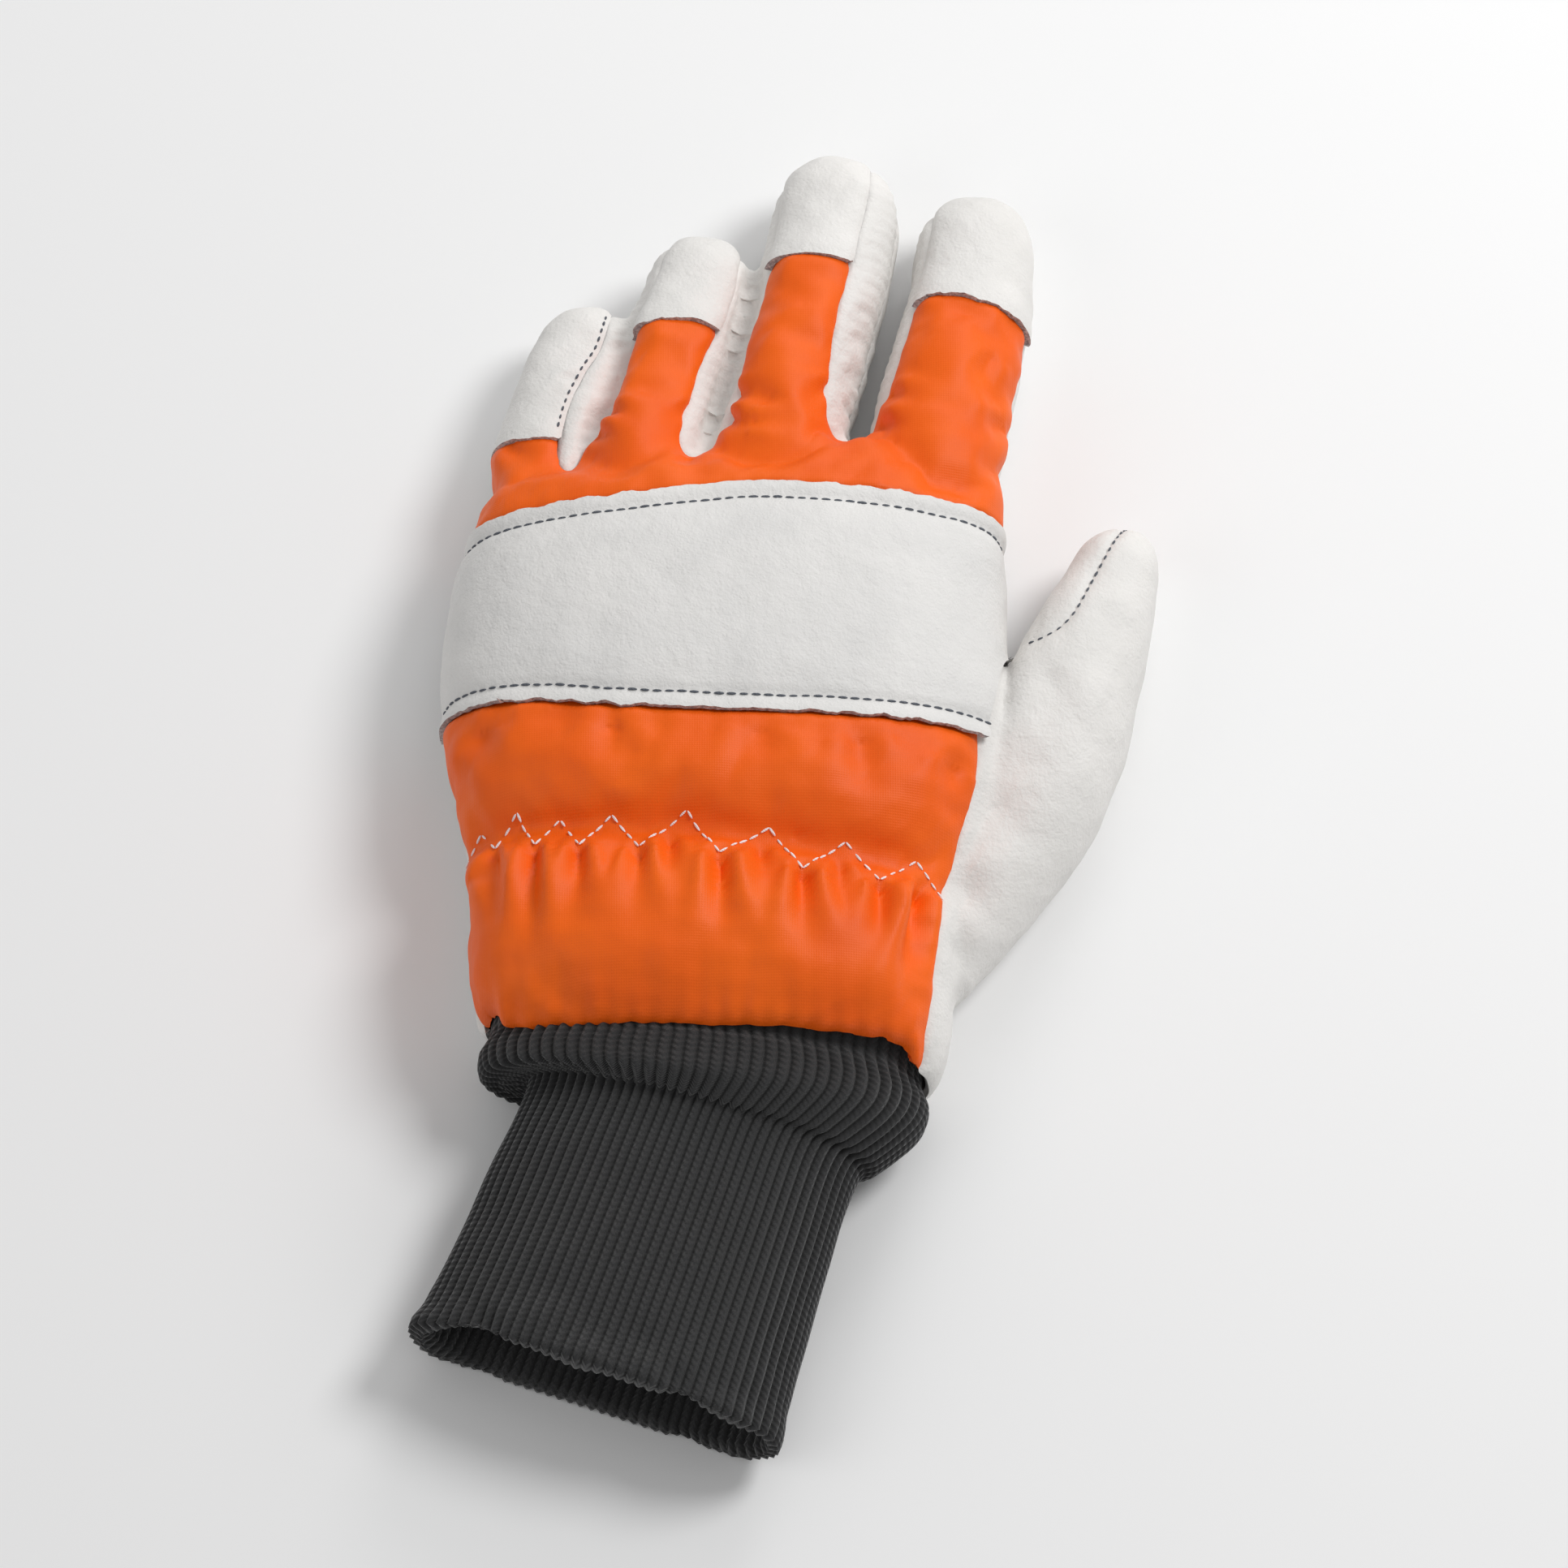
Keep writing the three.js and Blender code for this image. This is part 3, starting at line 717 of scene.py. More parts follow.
def fabric_material():
    shader = Shader("padded_fabric", {
        "Roughness": 0.5, "Specular IOR Level": 0.28, "Sheen Weight": 0.02, "Sheen Tint": (1, 0.6, 0.4, 1),
    })
    place = shader.place()
    colour = shader.ramp(shader.noise(place, 40.0, 3.0), 0.3, 0.7, (0.84, 0.105, 0.002), (0.92, 0.135, 0.002))
    weave = {"Vector": place, "Scale": 620.0}
    warp = shader.node("ShaderNodeTexWave", weave, bands_direction="X").outputs["Fac"]
    weft = shader.node("ShaderNodeTexWave", weave, bands_direction="Y").outputs["Fac"]
    soft = shader.bump(shader.noise(place, 130.0, 3.0), 0.0006, 0.4)
    weave = shader.bump(shader.math("MULTIPLY", warp, weft), 0.00006, 0.5, soft)
    return shader.finish(colour, weave)


def knit_material():
    shader = Shader("rib_knit", {
        "Roughness": 0.9, "Specular IOR Level": 0.2, "Sheen Weight": 0.25, "Sheen Roughness": 0.6,
    })
    uv = shader.node("ShaderNodeUVMap", uv_map="stitch_map").outputs["UV"]
    parts = shader.node("ShaderNodeSeparateXYZ", {"Vector": uv})
    rib = shader.math("ABSOLUTE", shader.math("SUBTRACT", shader.math("FRACT", parts.outputs["X"]), 0.5))
    slope = shader.math("ADD", parts.outputs["Y"], shader.math("MULTIPLY", rib, 1.6))
    wave = shader.math("SINE", shader.math("MULTIPLY", slope, 2 * math.pi))
    place = shader.place()
    fuzz = shader.bump(shader.noise(place, 2600.0, 2.0), 0.0003, 0.5)
    stitches = shader.bump(wave, 0.00012, 0.6, fuzz)
    # Painted shade: the black knit's colour is made darker from the rib crests into the valleys between them.
    painted_valley_shade = shader.ramp(rib, 0.12, 0.5, (0.026, 0.026, 0.027), (0.004, 0.004, 0.004))
    return shader.finish(painted_valley_shade, stitches)


def thread_material(name, colour):
    shader = Shader(name, {"Roughness": 0.7})
    ply = {"Vector": shader.place(), "Scale": 900.0}
    twist = shader.node("ShaderNodeTexWave", ply, bands_direction="DIAGONAL")
    return shader.finish(colour, shader.bump(twist.outputs["Fac"], 0.0001, 0.6))


def raw_edge_material():
    shader = Shader("raw_leather_edge", {"Roughness": 0.95})
    place = shader.place()
    colour = shader.ramp(shader.noise(place, 1500.0, 3.0), 0.35, 0.65, (0.24, 0.24, 0.25), (0.6, 0.59, 0.58))
    return shader.finish(colour, shader.bump(shader.noise(place, 1800.0, 3.0), 0.0004, 0.8))


LEATHER_LOOK = leather_material("leather", (0.81, 0.79, 0.765), (0.73, 0.715, 0.69), 0.55, 900.0)
STRAP_LOOK = leather_material("strap_leather", (0.78, 0.765, 0.745), (0.7, 0.69, 0.675), 0.6, 1100.0)
EDGE_LOOK = raw_edge_material()
FABRIC_LOOK = fabric_material()
KNIT_LOOK = knit_material()
DARK_THREAD = thread_material("dark_thread", (0.09, 0.1, 0.12))
WHITE_THREAD = thread_material("white_thread", (0.85, 0.8, 0.8))

# Stitches


def stitch_tree():
    """Round stitches set along a line, with named inputs."""
    tree = bpy.data.node_groups.new("stitches", "GeometryNodeTree")
    face = tree.interface
    face.new_socket("Line", in_out="INPUT", socket_type="NodeSocketGeometry")
    for name, value in (("Pitch", 0.0026), ("Length", 0.0017), ("Thickness", 0.0005), ("Unevenness", 0.15)):
        face.new_socket(name, in_out="INPUT", socket_type="NodeSocketFloat").default_value = value
    face.new_socket("Seed", in_out="INPUT", socket_type="NodeSocketInt")
    face.new_socket("Thread", in_out="INPUT", socket_type="NodeSocketMaterial")
    face.new_socket("Stitches", in_out="OUTPUT", socket_type="NodeSocketGeometry")
    add, link = tree.nodes.new, tree.links.new
    start, end = add("NodeGroupInput"), add("NodeGroupOutput")
    to_curve = add("GeometryNodeMeshToCurve")
    spaced = add("GeometryNodeResampleCurve")
    spaced.mode = "LENGTH"
    tangent = add("GeometryNodeInputTangent")
    turn = add("FunctionNodeAlignRotationToVector")
    turn.axis = "Z"
    ball = add("GeometryNodeMeshIcoSphere")
    ball.inputs["Radius"].default_value = 0.5
    ball.inputs["Subdivisions"].default_value = 3
    size = add("ShaderNodeCombineXYZ")
    vary = add("FunctionNodeRandomValue")
    vary.data_type = "FLOAT"
    low, high = add("ShaderNodeMath"), add("ShaderNodeMath")
    low.operation, high.operation = "SUBTRACT", "ADD"
    low.inputs[0].default_value = high.inputs[0].default_value = 1.0
    scaled = add("ShaderNodeVectorMath")
    scaled.operation = "SCALE"
    place = add("GeometryNodeInstanceOnPoints")
    real = add("GeometryNodeRealizeInstances")
    paint = add("GeometryNodeSetMaterial")
    for name, socket in (
        ("Line", to_curve.inputs["Mesh"]), ("Pitch", spaced.inputs["Length"]),
        ("Thickness", size.inputs["X"]), ("Thickness", size.inputs["Y"]), ("Length", size.inputs["Z"]),
        ("Unevenness", low.inputs[1]), ("Unevenness", high.inputs[1]),
        ("Seed", vary.inputs["Seed"]), ("Thread", paint.inputs["Material"]),
    ):
        link(start.outputs[name], socket)
    link(to_curve.outputs["Curve"], spaced.inputs["Curve"])
    link(tangent.outputs[0], turn.inputs["Vector"])
    for name, source in (("Min", low), ("Max", high)):
        link(source.outputs[0], next(s for s in vary.inputs if s.name == name and s.type == "VALUE"))
    link(size.outputs[0], scaled.inputs[0])
    link(next(s for s in vary.outputs if s.type == "VALUE"), scaled.inputs["Scale"])
    link(spaced.outputs["Curve"], place.inputs["Points"])
    link(ball.outputs["Mesh"], place.inputs["Instance"])
    link(turn.outputs["Rotation"], place.inputs["Rotation"])
    link(scaled.outputs[0], place.inputs["Scale"])
    link(place.outputs["Instances"], real.inputs["Geometry"])
    link(real.outputs["Geometry"], paint.inputs["Geometry"])
    link(paint.outputs["Geometry"], end.inputs[0])
    return tree


STITCH_TREE = stitch_tree()


def stitches(name, lines, material, thread, slot, seed):
    """Stitches along surface lines given in millimetres."""
    points, edges = [], []
    for line in lines:
        start = len(points)
        points += list(line)
        edges += [(i, i + 1) for i in range(start, len(points) - 1)]
    mesh = bpy.data.meshes.new(name)
    mesh.from_pydata((np.asarray(points) * MM).tolist(), edges, [])
    obj = linked(name, mesh)
    nodes = obj.modifiers.new("stitches", "NODES")
    nodes.node_group = STITCH_TREE
    sockets = {s.name: s.identifier for s in STITCH_TREE.interface.items_tree if s.in_out == "INPUT"}
    pitch, length, thickness = thread
    values = {
        "Pitch": pitch * MM, "Length": length * MM, "Thickness": thickness * MM, "Unevenness": 0.12,
        "Seed": seed, "Thread": material,
    }
    for key, value in values.items():
        nodes[sockets[key]] = value
    applied(obj)
    smooth(obj.data)
    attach(obj, "root")


def surface_of(obj):
    points, _, faces = read_mesh(obj.data)
    return BVHTree.FromPolygons(points.tolist(), faces.tolist())


def draped(tree, line, spacing, lift, low=False):
    """Plan line laid on a surface, from above or from below."""
    lengths = np.concatenate([[0], np.cumsum(np.linalg.norm(np.diff(line, axis=0), axis=1))])
    places = np.linspace(0, lengths[-1], max(2, int(lengths[-1] / spacing)))
    made = []
    for place in places:
        x, y = (np.interp(place, lengths, line[:, k]) for k in (0, 1))
        origin = Vector((x, y, RAY_BELOW if low else RAY_ABOVE))
        down = Vector((0, 0, 1 if low else -1))
        hit, normal, _, _ = tree.ray_cast(origin, down)
        if hit is not None:
            normal = normal if normal.dot(down) < 0 else -normal
            made.append(hit + normal * lift)
    return made


# Panels


def settle_padding(points, faces, pinned):
    """Lets the padded back puff out as cloth between its seams, and returns the moved points."""
    mesh = bpy.data.meshes.new("padding")
    mesh.from_pydata((points * CLOTH_SCALE).tolist(), [], faces.tolist())
    obj = linked("padding", mesh)
    group = obj.vertex_groups.new(name="sewn")
    for i in np.nonzero(pinned > 0)[0]:
        group.add([int(i)], float(pinned[i]), "REPLACE")
    cloth = obj.modifiers.new("cloth", "CLOTH")
    settings = {
        "quality": 6, "mass": 0.25, "tension_stiffness": 25, "compression_stiffness": 25,
        "shear_stiffness": 8, "bending_stiffness": 0.6, "vertex_group_mass": "sewn",
        "shrink_min": -0.055, "use_pressure": True, "uniform_pressure_force": 4,
    }
    for key, value in settings.items():
        setattr(cloth.settings, key, value)
    cloth.settings.effector_weights.gravity = 0
    cloth.collision_settings.use_collision = False
    cloth.point_cache.frame_start = 1
    cloth.point_cache.frame_end = 24
    scene = bpy.context.scene
    for step in range(1, CLOTH_FRAMES + 1):
        scene.frame_set(step)
    graph = bpy.context.evaluated_depsgraph_get()
    settled = obj.evaluated_get(graph).to_mesh()
    moved = np.empty(len(settled.vertices) * 3)
    settled.vertices.foreach_get("co", moved)
    moved = moved.reshape(-1, 3) / CLOTH_SCALE
    scene.frame_set(1)
    remove(obj)
    motion = moved - points
    size = np.linalg.norm(motion, axis=1)[:, None]
    return points + motion / np.maximum(1, size / PUFF_LIMIT)


def beside_gussets(f, field):
    for gusset in f["gussets"].values():
        field = np.minimum(field, -gusset - 0.1)
    return field


def back_field(f):
    field = beside_gussets(f, np.minimum(f["upper"] - 0.1, f["wrist"]))
    for tip in f["tips"].values():
        field = np.minimum(field, 2.0 - tip)
    return np.minimum(field, -f["thumb"] - 0.1)


def make_back(skin):
    points, _, faces, _ = cut_panel(skin, back_field(fields(skin[0])))
    obj = mesh_object("padded_back", points, faces)
    tidy_surface(obj, 0.4)
    points, _, faces = read_mesh(obj.data)
    f = fields(points)
    edge = back_field(f)
    sewn = np.clip(1.3 - edge / 3.0, 0, 1)
    sewn = np.maximum(sewn, np.clip(f["strap"] / 2 + 1, 0, 1))
    sewn = np.maximum(sewn, 0.75 * np.exp(-((f["zigzag"] / 3.5) ** 2)))
    sewn = np.maximum(sewn, np.clip(1.2 - f["wrist"] / 3, 0, 1))
    points = settle_padding(points, faces, sewn)
    move_points(obj, points)
    soften_mesh(obj, 4)
    fine = obj.modifiers.new("fine", "SUBSURF")
    fine.levels = fine.render_levels = 1
    applied(obj)
    points, normals, _ = read_mesh(obj.data)
    f = fields(points)
    edge = np.maximum(back_field(f), 0)
    lift = 0.9 * (1 - np.exp(-edge / 5.0)) - 0.9 * np.exp(-edge / 1.2) * from_crotch(points)
    lift -= 1.35 * crease(points, FABRIC_FOLDS) + 1.35 * crease(points, PLEATS)
    lift -= 0.9 * np.exp(-((f["zigzag"] / 3.0) ** 2))
    lift += 0.25 * ripple(points, 17, 3) + 0.12 * ripple(points, 7, 4)
    under = smoothstep(f["strap"] / 3 + 0.6)
    lift = lift * (1 - under) - 0.9 * under
    for tip in f["tips"].values():
        lift -= 0.9 * smoothstep((tip + 2.5) / 3)
    pucker = np.sin(points[:, 0] * 1.35 + ripple(points, 20, 8)) * np.exp(-f["wrist"] / 5)
    lift += 0.35 * pucker - 1.6 * np.exp(-np.maximum(f["wrist"], 0) / 1.3)
    move_points(obj, points + normals * lift[:, None])
    obj.data.materials.append(FABRIC_LOOK)
    thicken(obj, PADDING)
    return obj


def make_panel(name, skin, field, lift, thickness, look, edge_look=None):
    """Leather panel cut from the skin: lift gives its height over the skin from points and edge distance."""
    points, normals, faces, edge = cut_panel(skin, field)
    raised = points + normals * lift(points, edge)[:, None]
    obj = mesh_object(name, raised, faces)
    tidy_surface(obj)
    obj.data.materials.append(look)
    if edge_look:
        obj.data.materials.append(edge_look)
    thicken(obj, thickness, 1 if edge_look else 0)
    return obj


def from_crotch(points):
    """Rises from 0 at the thumb's crotch to 1 a little away from it."""
    return smoothstep(np.linalg.norm(points[:, :2] - THUMB_CROTCH, axis=1) / 8 - 0.3)


def soft_leather(points, edge, roll=1.1):
    """Leather surface: rolled in at its seams, creased and a little uneven."""
    lift = -roll * np.exp(-edge / 1.0) * from_crotch(points) + 0.35 * (1 - np.exp(-edge / 5))
    return lift - crease(points, LEATHER_FOLDS) + 0.22 * ripple(points, 16, 11) + 0.1 * ripple(points, 6, 12)


def flat_below(points, raised):
    """Leaves out what would push the underside through the floor."""
    return np.where(points[:, 2] < 1.0, np.minimum(raised, 0), raised)


def make_tips(skin, f):
    made = []
    for i, (name, tip) in enumerate(f["tips"].items()):
        ragged = 0.3 * ripple(skin[0][:, :2], 7, 30 + i) + 0.2 * ripple(skin[0][:, :2], 2.6, 40 + i)
        field = beside_gussets(f, np.minimum(f["upper"] - 0.1, tip + 1.0 + ragged))

        def lift(points, edge, name=name):
            hem = beyond(points[:, :2], HEM_CURVES[name])
            free = np.exp(-((np.maximum(hem, 0) / 5) ** 2))
            seam = np.minimum(points[:, 2] - SEAM_HEIGHT, 40)
            for line in GUSSETS.values():
                seam = np.minimum(seam, -within(points[:, :2], line))
            roll = -1.0 * np.exp(-np.maximum(seam, 0) / 1.0)
            return roll + 0.9 * free + 0.15 + 0.2 * ripple(points, 9, 15) - crease(points, LEATHER_FOLDS)

        made.append(make_panel(name + "_fingertip", skin, field, lift, LEATHER, LEATHER_LOOK, EDGE_LOOK))
    return dict(zip(f["tips"], made))


def make_gussets(skin, f):
    made = {}
    for name, gusset in f["gussets"].items():
        field = np.minimum(f["upper"] - 0.1, gusset + SEAM_LAP)

        def lift(points, edge):
            wrinkle = np.sin(points[:, 1] * 2.1 + 2 * ripple(points, 12, 21)) * smoothstep(edge / 3)
            return soft_leather(points, edge, 1.3) + 0.14 * wrinkle - 0.3

        made[name] = make_panel(name + "_side_wall", skin, field, lift, LEATHER, LEATHER_LOOK)
    return made


def make_strap(skin, f):
    wave = 0.35 * ripple(skin[0][:, :1], 9, 51) + 0.2 * ripple(skin[0][:, :1], 2.3, 52)
    field = np.minimum(f["strap"] + wave, f["upper"] + 0.6)
    field = np.minimum(field, -f["thumb"] + 0.4)

    def lift(points, edge):
        rim = band(points[:, :2], STRAP_EDGES)
        sunk = 0.75 * np.exp(-(((rim - STRAP_STITCH_INSET) / 1.0) ** 2))
        lip = 0.5 * np.exp(-((np.maximum(rim, 0) / 2.0) ** 2))
        full = 0.5 * smoothstep((rim - STRAP_STITCH_INSET) / 8)
        uneven = 0.16 * ripple(points, 19, 53) + 0.07 * ripple(points, 6, 54)
        return STRAP_LIFT - 0.3 - sunk + lip + full + uneven

    return make_panel("knuckle_band", skin, field, lift, STRAP_THICKNESS, STRAP_LOOK, EDGE_LOOK)


def make_palm(skin, f):
    field = np.minimum(SEAM_LAP - f["upper"], -f["thumb"] - 0.1)
    field = np.minimum(field, f["wrist"])

    def lift(points, edge):
        cover = band(points[:, :2], PATCH_EDGES)
        raised = soft_leather(points, edge, 1.4) - 1.5 * smoothstep(cover / 2 + 0.7)
        return flat_below(points, raised)

    return make_panel("palm_leather", skin, field, lift, LEATHER, LEATHER_LOOK)


def make_patch(skin, f):
    field = np.minimum(f["patch"] + 0.25 * ripple(skin[0][:, :1], 8, 61), -f["upper"] - 0.2)
    field = np.minimum(field, -f["thumb"] - 0.2)
    field = np.where(skin[0][:, 0] > PATCH_END, -5, field)

    def lift(points, edge):
        raised = -0.5 * np.exp(-edge / 0.8) + 0.1 * ripple(points, 12, 62)
        return flat_below(points, raised)

    return make_panel("palm_reinforcement", skin, field, lift, PATCH_THICKNESS, STRAP_LOOK, EDGE_LOOK)


def make_thumb(skin, f):
    field = np.minimum(f["thumb"] + SEAM_LAP, -f["thumb_gusset"] - 0.1)
    field = np.minimum(field, f["wrist"])

    def lift(points, edge):
        return flat_below(points, soft_leather(points, edge, 1.5))

    return make_panel("thumb_leather", skin, field, lift, LEATHER, LEATHER_LOOK)


def make_thumb_gusset(skin, f):
    field = np.minimum(f["thumb_gusset"] + SEAM_LAP, np.where(skin[0][:, 0] < THUMB_GUSSET_START, -5, 5))

    def lift(points, edge):
        return soft_leather(points, edge, 0.8)

    return make_panel("thumb_side_wall", skin, field, lift, LEATHER, LEATHER_LOOK)


# Cuff


def cuff_rows():
    """Sections of the knit tube past the hem: centre, half width, top, lean."""
    table = [
        (0.0, 0, 0.97, 0.96, 0.4), (0.05, 0, 1.0, 1.0, 0.4), (0.11, 0, 0.97, 0.95, 0.45),
        (0.155, 0.5, 0.45, 0.4, 0.8), (0.19, 0.98, 0, 0, 0.95), (0.45, 1.0, 0, 0, 1.04),
        (0.75, 1.04, 0, 0, 1.04), (1.0, 1.09, 0, 0, 1.04),
    ]
    place = np.array([CUFF_SHIFT * HAND_WIDTH, along(0) - 0.9])
    before, rows = 0.0, []
    for share, width, ridge, top, lean in table:
        turn = math.radians(CUFF_LEAN * lean)
        place = place - np.array([math.sin(turn), math.cos(turn)]) * (share - before) * CUFF_LENGTH
        before = share
        half = (width * CUFF_WIDTH + ridge * RIDGE_WIDTH) / 2
        height = CUFF_HEIGHT + (RIDGE_HEIGHT - CUFF_HEIGHT) * top
        rows.append((*place, half, height, turn))
    x, y = rows[0][:2]
    inside = [(x + 0.6, y + 9, 45.3, 32.5, rows[0][4]), (x, y + 3, 45.0, 32.0, rows[0][4])]
    return inside + rows


def cuff_ring(row, grow, count):
    """Points of one section, evenly spaced round it."""
    x, y, half, top, turn = row
    angles = np.linspace(0, 2 * math.pi, 2000, endpoint=False)
    mid = 0.45 * CUFF_HEIGHT
    across = fullness(np.cos(angles), 2.4) * (half + grow)
    rise = fullness(np.sin(angles), 2.4)
    up = np.maximum(mid + rise * np.where(rise > 0, top - mid + grow, mid * 1.3 + grow), -grow)
    steps = np.hypot(np.diff(across, append=across[0]), np.diff(up, append=up[0]))
    length = np.concatenate([[0], np.cumsum(steps)])
    wanted = np.linspace(0, length[-1], count, endpoint=False)
    across = np.interp(wanted, length, np.append(across, across[0]))
    up = np.interp(wanted, length, np.append(up, up[0]))
    return np.stack([x + across * math.cos(turn), y - across * math.sin(turn), up], 1)


def make_cuff():
    count = RIB_COUNT * RIB_POINTS
    rows = spline(cuff_rows(), CUFF_RINGS)
    outer = np.array([cuff_ring(row, -RIB_DEPTH / 2, count) for row in rows])
    inner = np.array([cuff_ring(row, -KNIT - RIB_DEPTH / 2, count) for row in rows[::2]])[::-1]
    mouth = (outer[-1] + inner[0]) / 2 + (outer[-1] - outer[-4]) * 0.25
    neck = (outer[0] + inner[-1]) / 2
    rings = np.concatenate([outer, [mouth], inner, [neck]])
    around = np.roll(rings, -1, axis=1) - np.roll(rings, 1, axis=1)
    onwards = np.roll(rings, -1, axis=0) - np.roll(rings, 1, axis=0)
    out = np.cross(around, onwards)
    out /= np.linalg.norm(out, axis=2)[..., None]
    rib = np.cos(np.arange(count) / count * RIB_COUNT * 2 * math.pi)
    ridge = np.abs(0.5 + 0.5 * rib) ** 0.7
    ring = np.arange(len(rings))
    soft = smoothstep((ring - 8) / 22)
    depth = RIB_DEPTH * np.where(ring < CUFF_RINGS, 0.25 + 0.75 * soft, 0.5)
    flat = rings.reshape(-1, 3)
    sag = 0.45 * ripple(flat, 34, 71) + 0.2 * ripple(flat, 13, 72)
    lip = np.repeat(smoothstep(1 - np.abs(ring - CUFF_RINGS) / 12), count)
    sag += lip * (1.5 * ripple(flat[:, :2], 19, 73) + 0.5 * ripple(flat[:, :2], 8, 74) + 0.5)
    sag = np.where(flat[:, 2] < 2, np.minimum(sag, 0), sag).reshape(len(rings), count)
    lift = (ridge[None] * 2 - 1) * depth[:, None] * 0.5 + sag * 0.7
    rings = rings + out * lift[..., None]
    rings[..., 2] = np.maximum(rings[..., 2], 0)
    total, faces = len(rings), []
    for row in range(total):
        a = row * count + np.arange(count)
        b = row * count + (np.arange(count) + 1) % count
        step = (row + 1) % total * count - row * count
        faces += np.stack([a, b, b + step, a + step], 1).tolist()
    obj = mesh_object("knit_cuff", rings.reshape(-1, 3), faces)
    lengths = np.concatenate([[0], np.cumsum(np.linalg.norm(np.diff(rings[:, 0], axis=0), axis=1))])
    uv = obj.data.uv_layers.new(name="stitch_map")
    loops = np.empty(len(obj.data.loops), int)
    obj.data.loops.foreach_get("vertex_index", loops)
    column, row = loops % count, loops // count
    wrapped = (column == 0) & (np.repeat(column.reshape(-1, 4).max(1), 4) == count - 1)
    u = np.where(wrapped, count, column) / count * RIB_COUNT + 0.5
    last = (row == 0) & (np.repeat(row.reshape(-1, 4).max(1), 4) == total - 1)
    v = np.where(last, lengths[-1] + 1.0, lengths[row]) / STITCH_ROW
    uv.data.foreach_set("uv", np.stack([u, v], 1).ravel())
    obj.data.materials.append(KNIT_LOOK)
    work = bmesh.new()
    work.from_mesh(obj.data)
    if work.calc_volume(signed=True) < 0:
        bmesh.ops.reverse_faces(work, faces=work.faces)
        work.to_mesh(obj.data)
    work.free()
    return obj


# Build the glove

skin = hand_skin(FINE_GRAIN, 7)
coarse = hand_skin(COARSE_GRAIN, 3)
near = fields(skin[0])

back = make_back(coarse)
strap = make_strap(skin, near)
palm = make_palm(skin, near)
patch = make_patch(skin, near)
thumb = make_thumb(skin, near)
thumb_wall = make_thumb_gusset(skin, near)
tips = make_tips(skin, near)
walls = make_gussets(skin, near)
cuff = make_cuff()

for piece, node, slot in (
    (back, "back", "padded_fabric"), (strap, "knuckle_strap", "strap_leather"), (palm, "palm", "leather"),
    (patch, "palm_patch", "strap_leather"), (thumb, "thumb", "leather"),
    (thumb_wall, "thumb_gusset", "leather"), (cuff, "cuff", "rib_knit"),
):
    hand_over(piece, node, slot)
for name, tip in tips.items():
    hand_over(tip, name + "_tip", "leather")
for name, wall in walls.items():
    hand_over(wall, name + "_gusset", "leather")

# Stitch lines

strap_surface = surface_of(strap)
back_surface = surface_of(back)


def inset(line, distance):
    """Plan line moved sideways, to its left when the distance is above zero."""
    way = np.gradient(line, axis=0)
    way /= np.linalg.norm(way, axis=1)[:, None]
    return line + np.stack([-way[:, 1], way[:, 0]], 1) * distance


strap_lines = [
    draped(strap_surface, inset(line, side * STRAP_STITCH_INSET), LINE_STEP, 0.12)
    for line, side in zip(STRAP_EDGES, (-1, 1))
]
stitches("strap_stitches", strap_lines, DARK_THREAD, STRAP_THREAD, "strap_leather", 1)

zigzag_lines = []
for start, end in zip(ZIGZAG_LINE[:-1], ZIGZAG_LINE[1:]):
    gap = (end - start) / np.linalg.norm(end - start) * ZIGZAG_CORNER
    zigzag_lines.append(draped(back_surface, np.array([start + gap, end - gap]), 0.5, 0.15))
zigzag_lines = [line for line in zigzag_lines if len(line) > 1]
stitches("elastic_zigzag", zigzag_lines, WHITE_THREAD, ZIGZAG_THREAD, "padded_fabric", 2)

thumb_surface = surface_of(thumb)
thumb_line = inset(curve(THUMB_GUSSET_SEAM), SEAM_STITCH_INSET)[4:-4]
thumb_line = draped(thumb_surface, thumb_line, LINE_STEP, 0.1)
stitches("thumb_seam_stitches", [thumb_line], DARK_THREAD, SEAM_THREAD, "leather", 4)
little_line = draped(surface_of(tips["little"]), inset(curve(LITTLE_RING_SEAM)[6:30], -1.2), LINE_STEP, 0.1)
stitches("little_finger_stitches", [little_line], DARK_THREAD, SEAM_THREAD, "leather", 5)
palm_line = inset(curve(PALM_THUMB_SEAM), SEAM_STITCH_INSET)[3:-6]
palm_line = draped(thumb_surface, palm_line, LINE_STEP, -0.1, low=True)
stitches("palm_seam_stitches", [palm_line], DARK_THREAD, SEAM_THREAD, "leather", 6)


def round_tip(tree, rows, height):
    """Line round the front of a fingertip at a level height."""
    ends = plan(np.asarray(rows)[-2:, :2])
    heading = math.atan2(*(ends[1] - ends[0])[::-1])
    middle = Vector((*ends[1], height))
    sides = []
    for turn in (-1, 1):
        side = []
        for angle in turn * np.radians(np.linspace(0, TIP_TURN, 25)):
            way = Vector((math.cos(heading + angle), math.sin(heading + angle), 0))
            hit, _, _, _ = tree.ray_cast(middle + way * TIP_RAY, -way)
            if hit is None or (side and (hit - side[-1]).length > 2):
                break
            side.append(hit + way * 0.1)
        sides.append(side)
    return sides[0][::-1] + sides[1][1:]


palm_surface = surface_of(palm)
tip_lines = [round_tip(palm_surface, rows, SEAM_HEIGHT - 1.6) for _, rows in FINGERS.values()]
stitches("fingertip_stitches", tip_lines, DARK_THREAD, TIP_THREAD, "leather", 7)

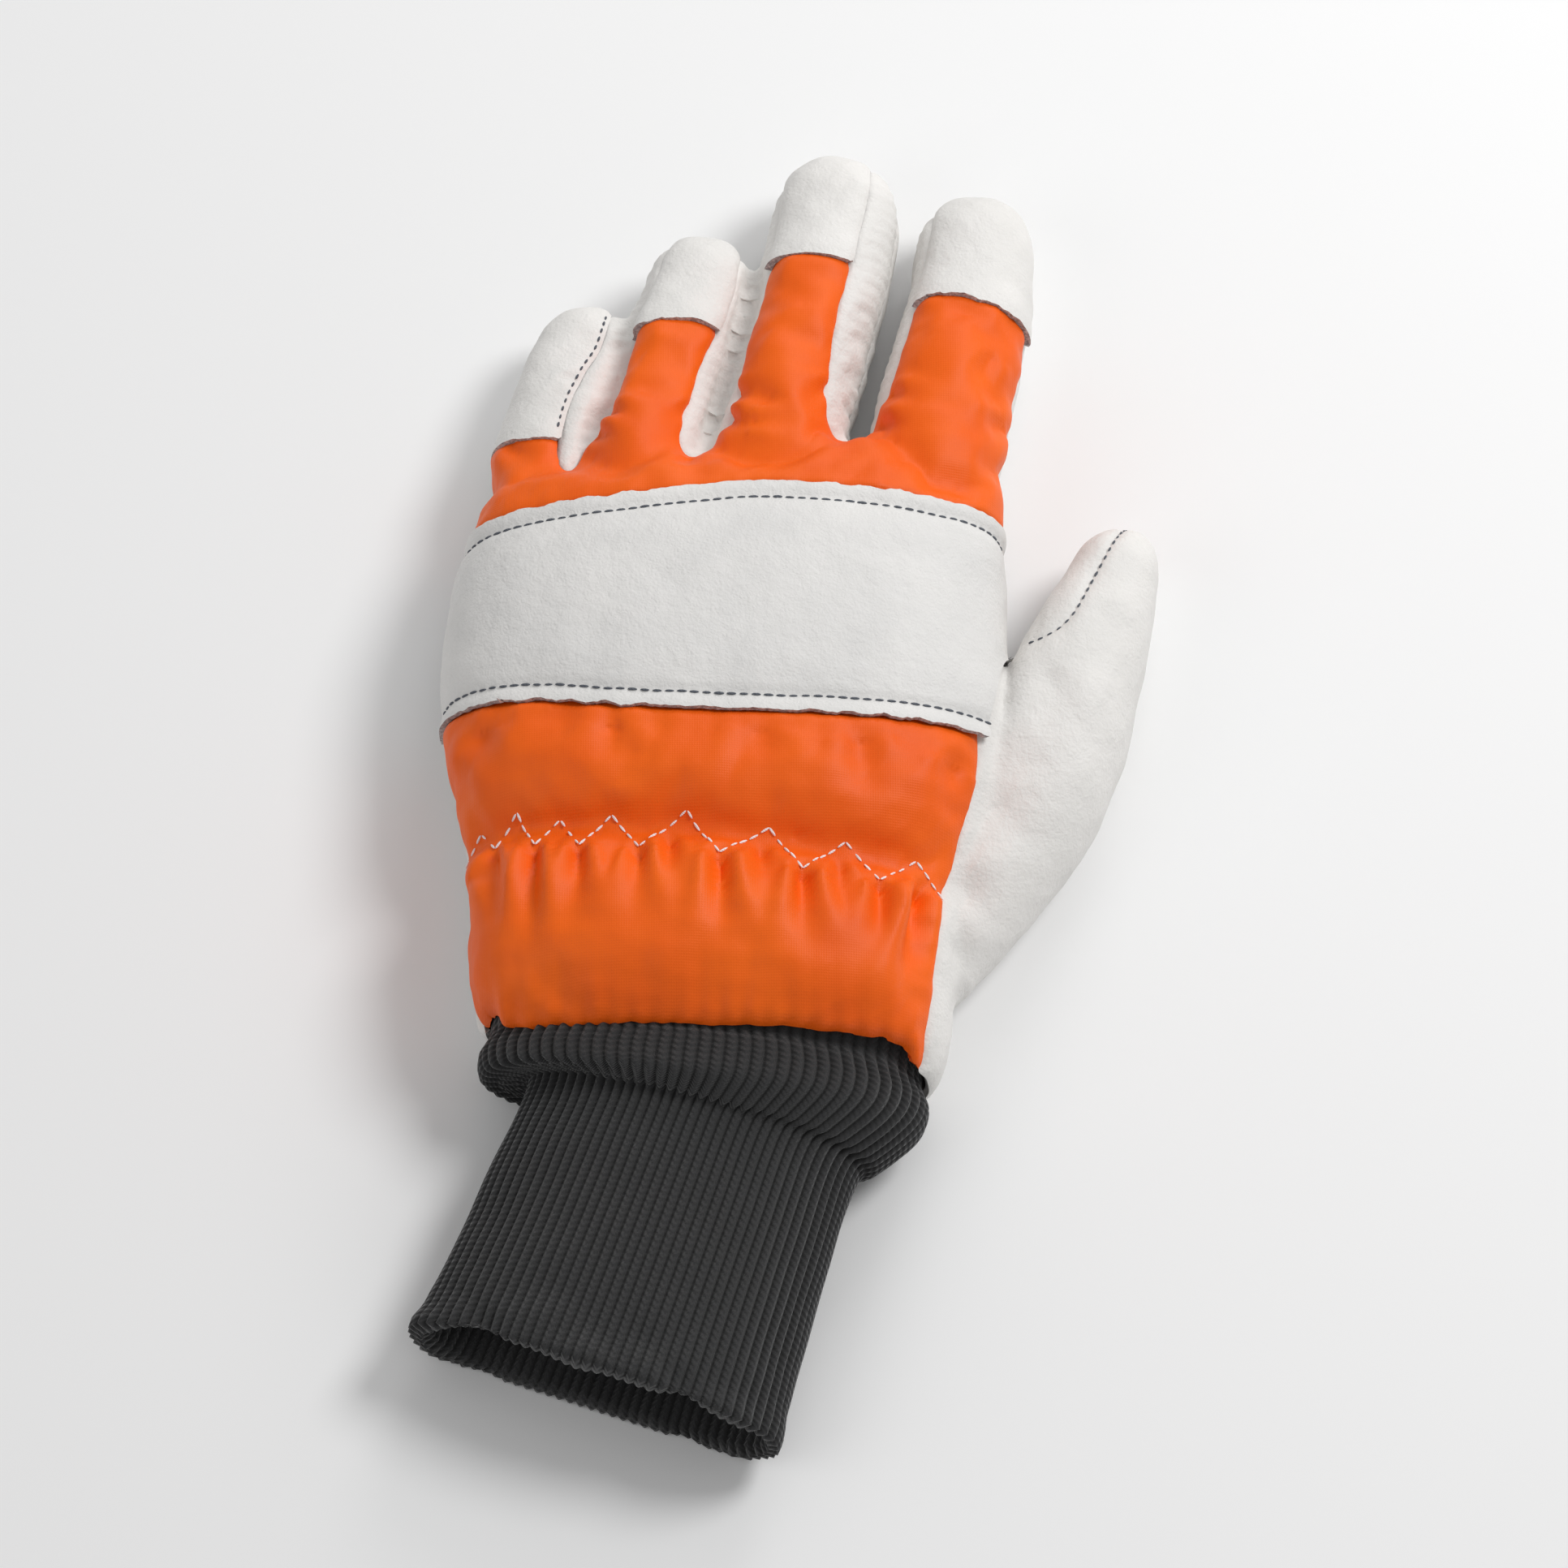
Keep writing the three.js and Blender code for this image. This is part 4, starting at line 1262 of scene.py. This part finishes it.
patch_surface = surface_of(patch)
patch_lines = []
for share in PATCH_ROWS:
    middle = PATCH_EDGES[1] * (1 - share) + PATCH_EDGES[0] * share
    for side in (-SEAM_STITCH_INSET, SEAM_STITCH_INSET):
        patch_lines.append(draped(patch_surface, inset(middle, side), LINE_STEP, -0.2, low=True))
patch_lines = [line for line in patch_lines if len(line) > 1]
stitches("patch_stitches", patch_lines, DARK_THREAD, PATCH_THREAD, "strap_leather", 3)

# Light, floor and camera

signs = [(-1, -1), (1, -1), (1, 1), (-1, 1)]
corners = [(x * FLOOR_HALF, y * FLOOR_HALF, FLOOR_PLACE) for x, y in signs]
floor = mesh_object("floor", corners, [(0, 1, 2, 3)])
paper = Shader("paper", {"Roughness": 0.9})
floor.data.materials.append(paper.finish((0.9, 0.9, 0.9), None))

world = bpy.data.worlds.new("studio")
world.use_nodes = True
sky = world.node_tree.nodes["Background"]
sky.inputs["Color"].default_value = (1, 1, 1, 1)
sky.inputs["Strength"].default_value = 0.42
bpy.context.scene.world = world
bpy.context.scene.view_settings.view_transform = "Standard"


def area_light(name, place, aim, size, power):
    light = bpy.data.lights.new(name, "AREA")
    light.shape = "DISK"
    light.size = size
    light.energy = power
    obj = linked(name, light)
    obj.location = place
    obj.rotation_euler = (Vector(aim) - Vector(place)).to_track_quat("-Z", "Y").to_euler()


area_light("key", (0.75, 0.35, 1.0), (0, 0, 0), 0.5, 8)
area_light("fill", (-0.9, -0.4, 0.9), (0, 0, 0), 0.8, 1.6)
area_light("rim", (0.3, 0.9, 0.5), (0, 0, 0.02), 0.5, 2.4)

camera_data = bpy.data.cameras.new("camera")
camera = linked("camera", camera_data)
bpy.context.scene.camera = camera
target = Vector((0.0118, 0.0027, 0.018))
tilt = math.radians(CAMERA_ELEVATION)
camera.location = target + Vector((0, -math.cos(tilt), math.sin(tilt))) * CAMERA_DISTANCE
camera.rotation_euler = (target - camera.location).to_track_quat("-Z", "Y").to_euler()
camera_data.sensor_width = 36
camera_data.lens = 36 * CAMERA_DISTANCE / VIEW_WIDTH
camera_data.dof.use_dof = False
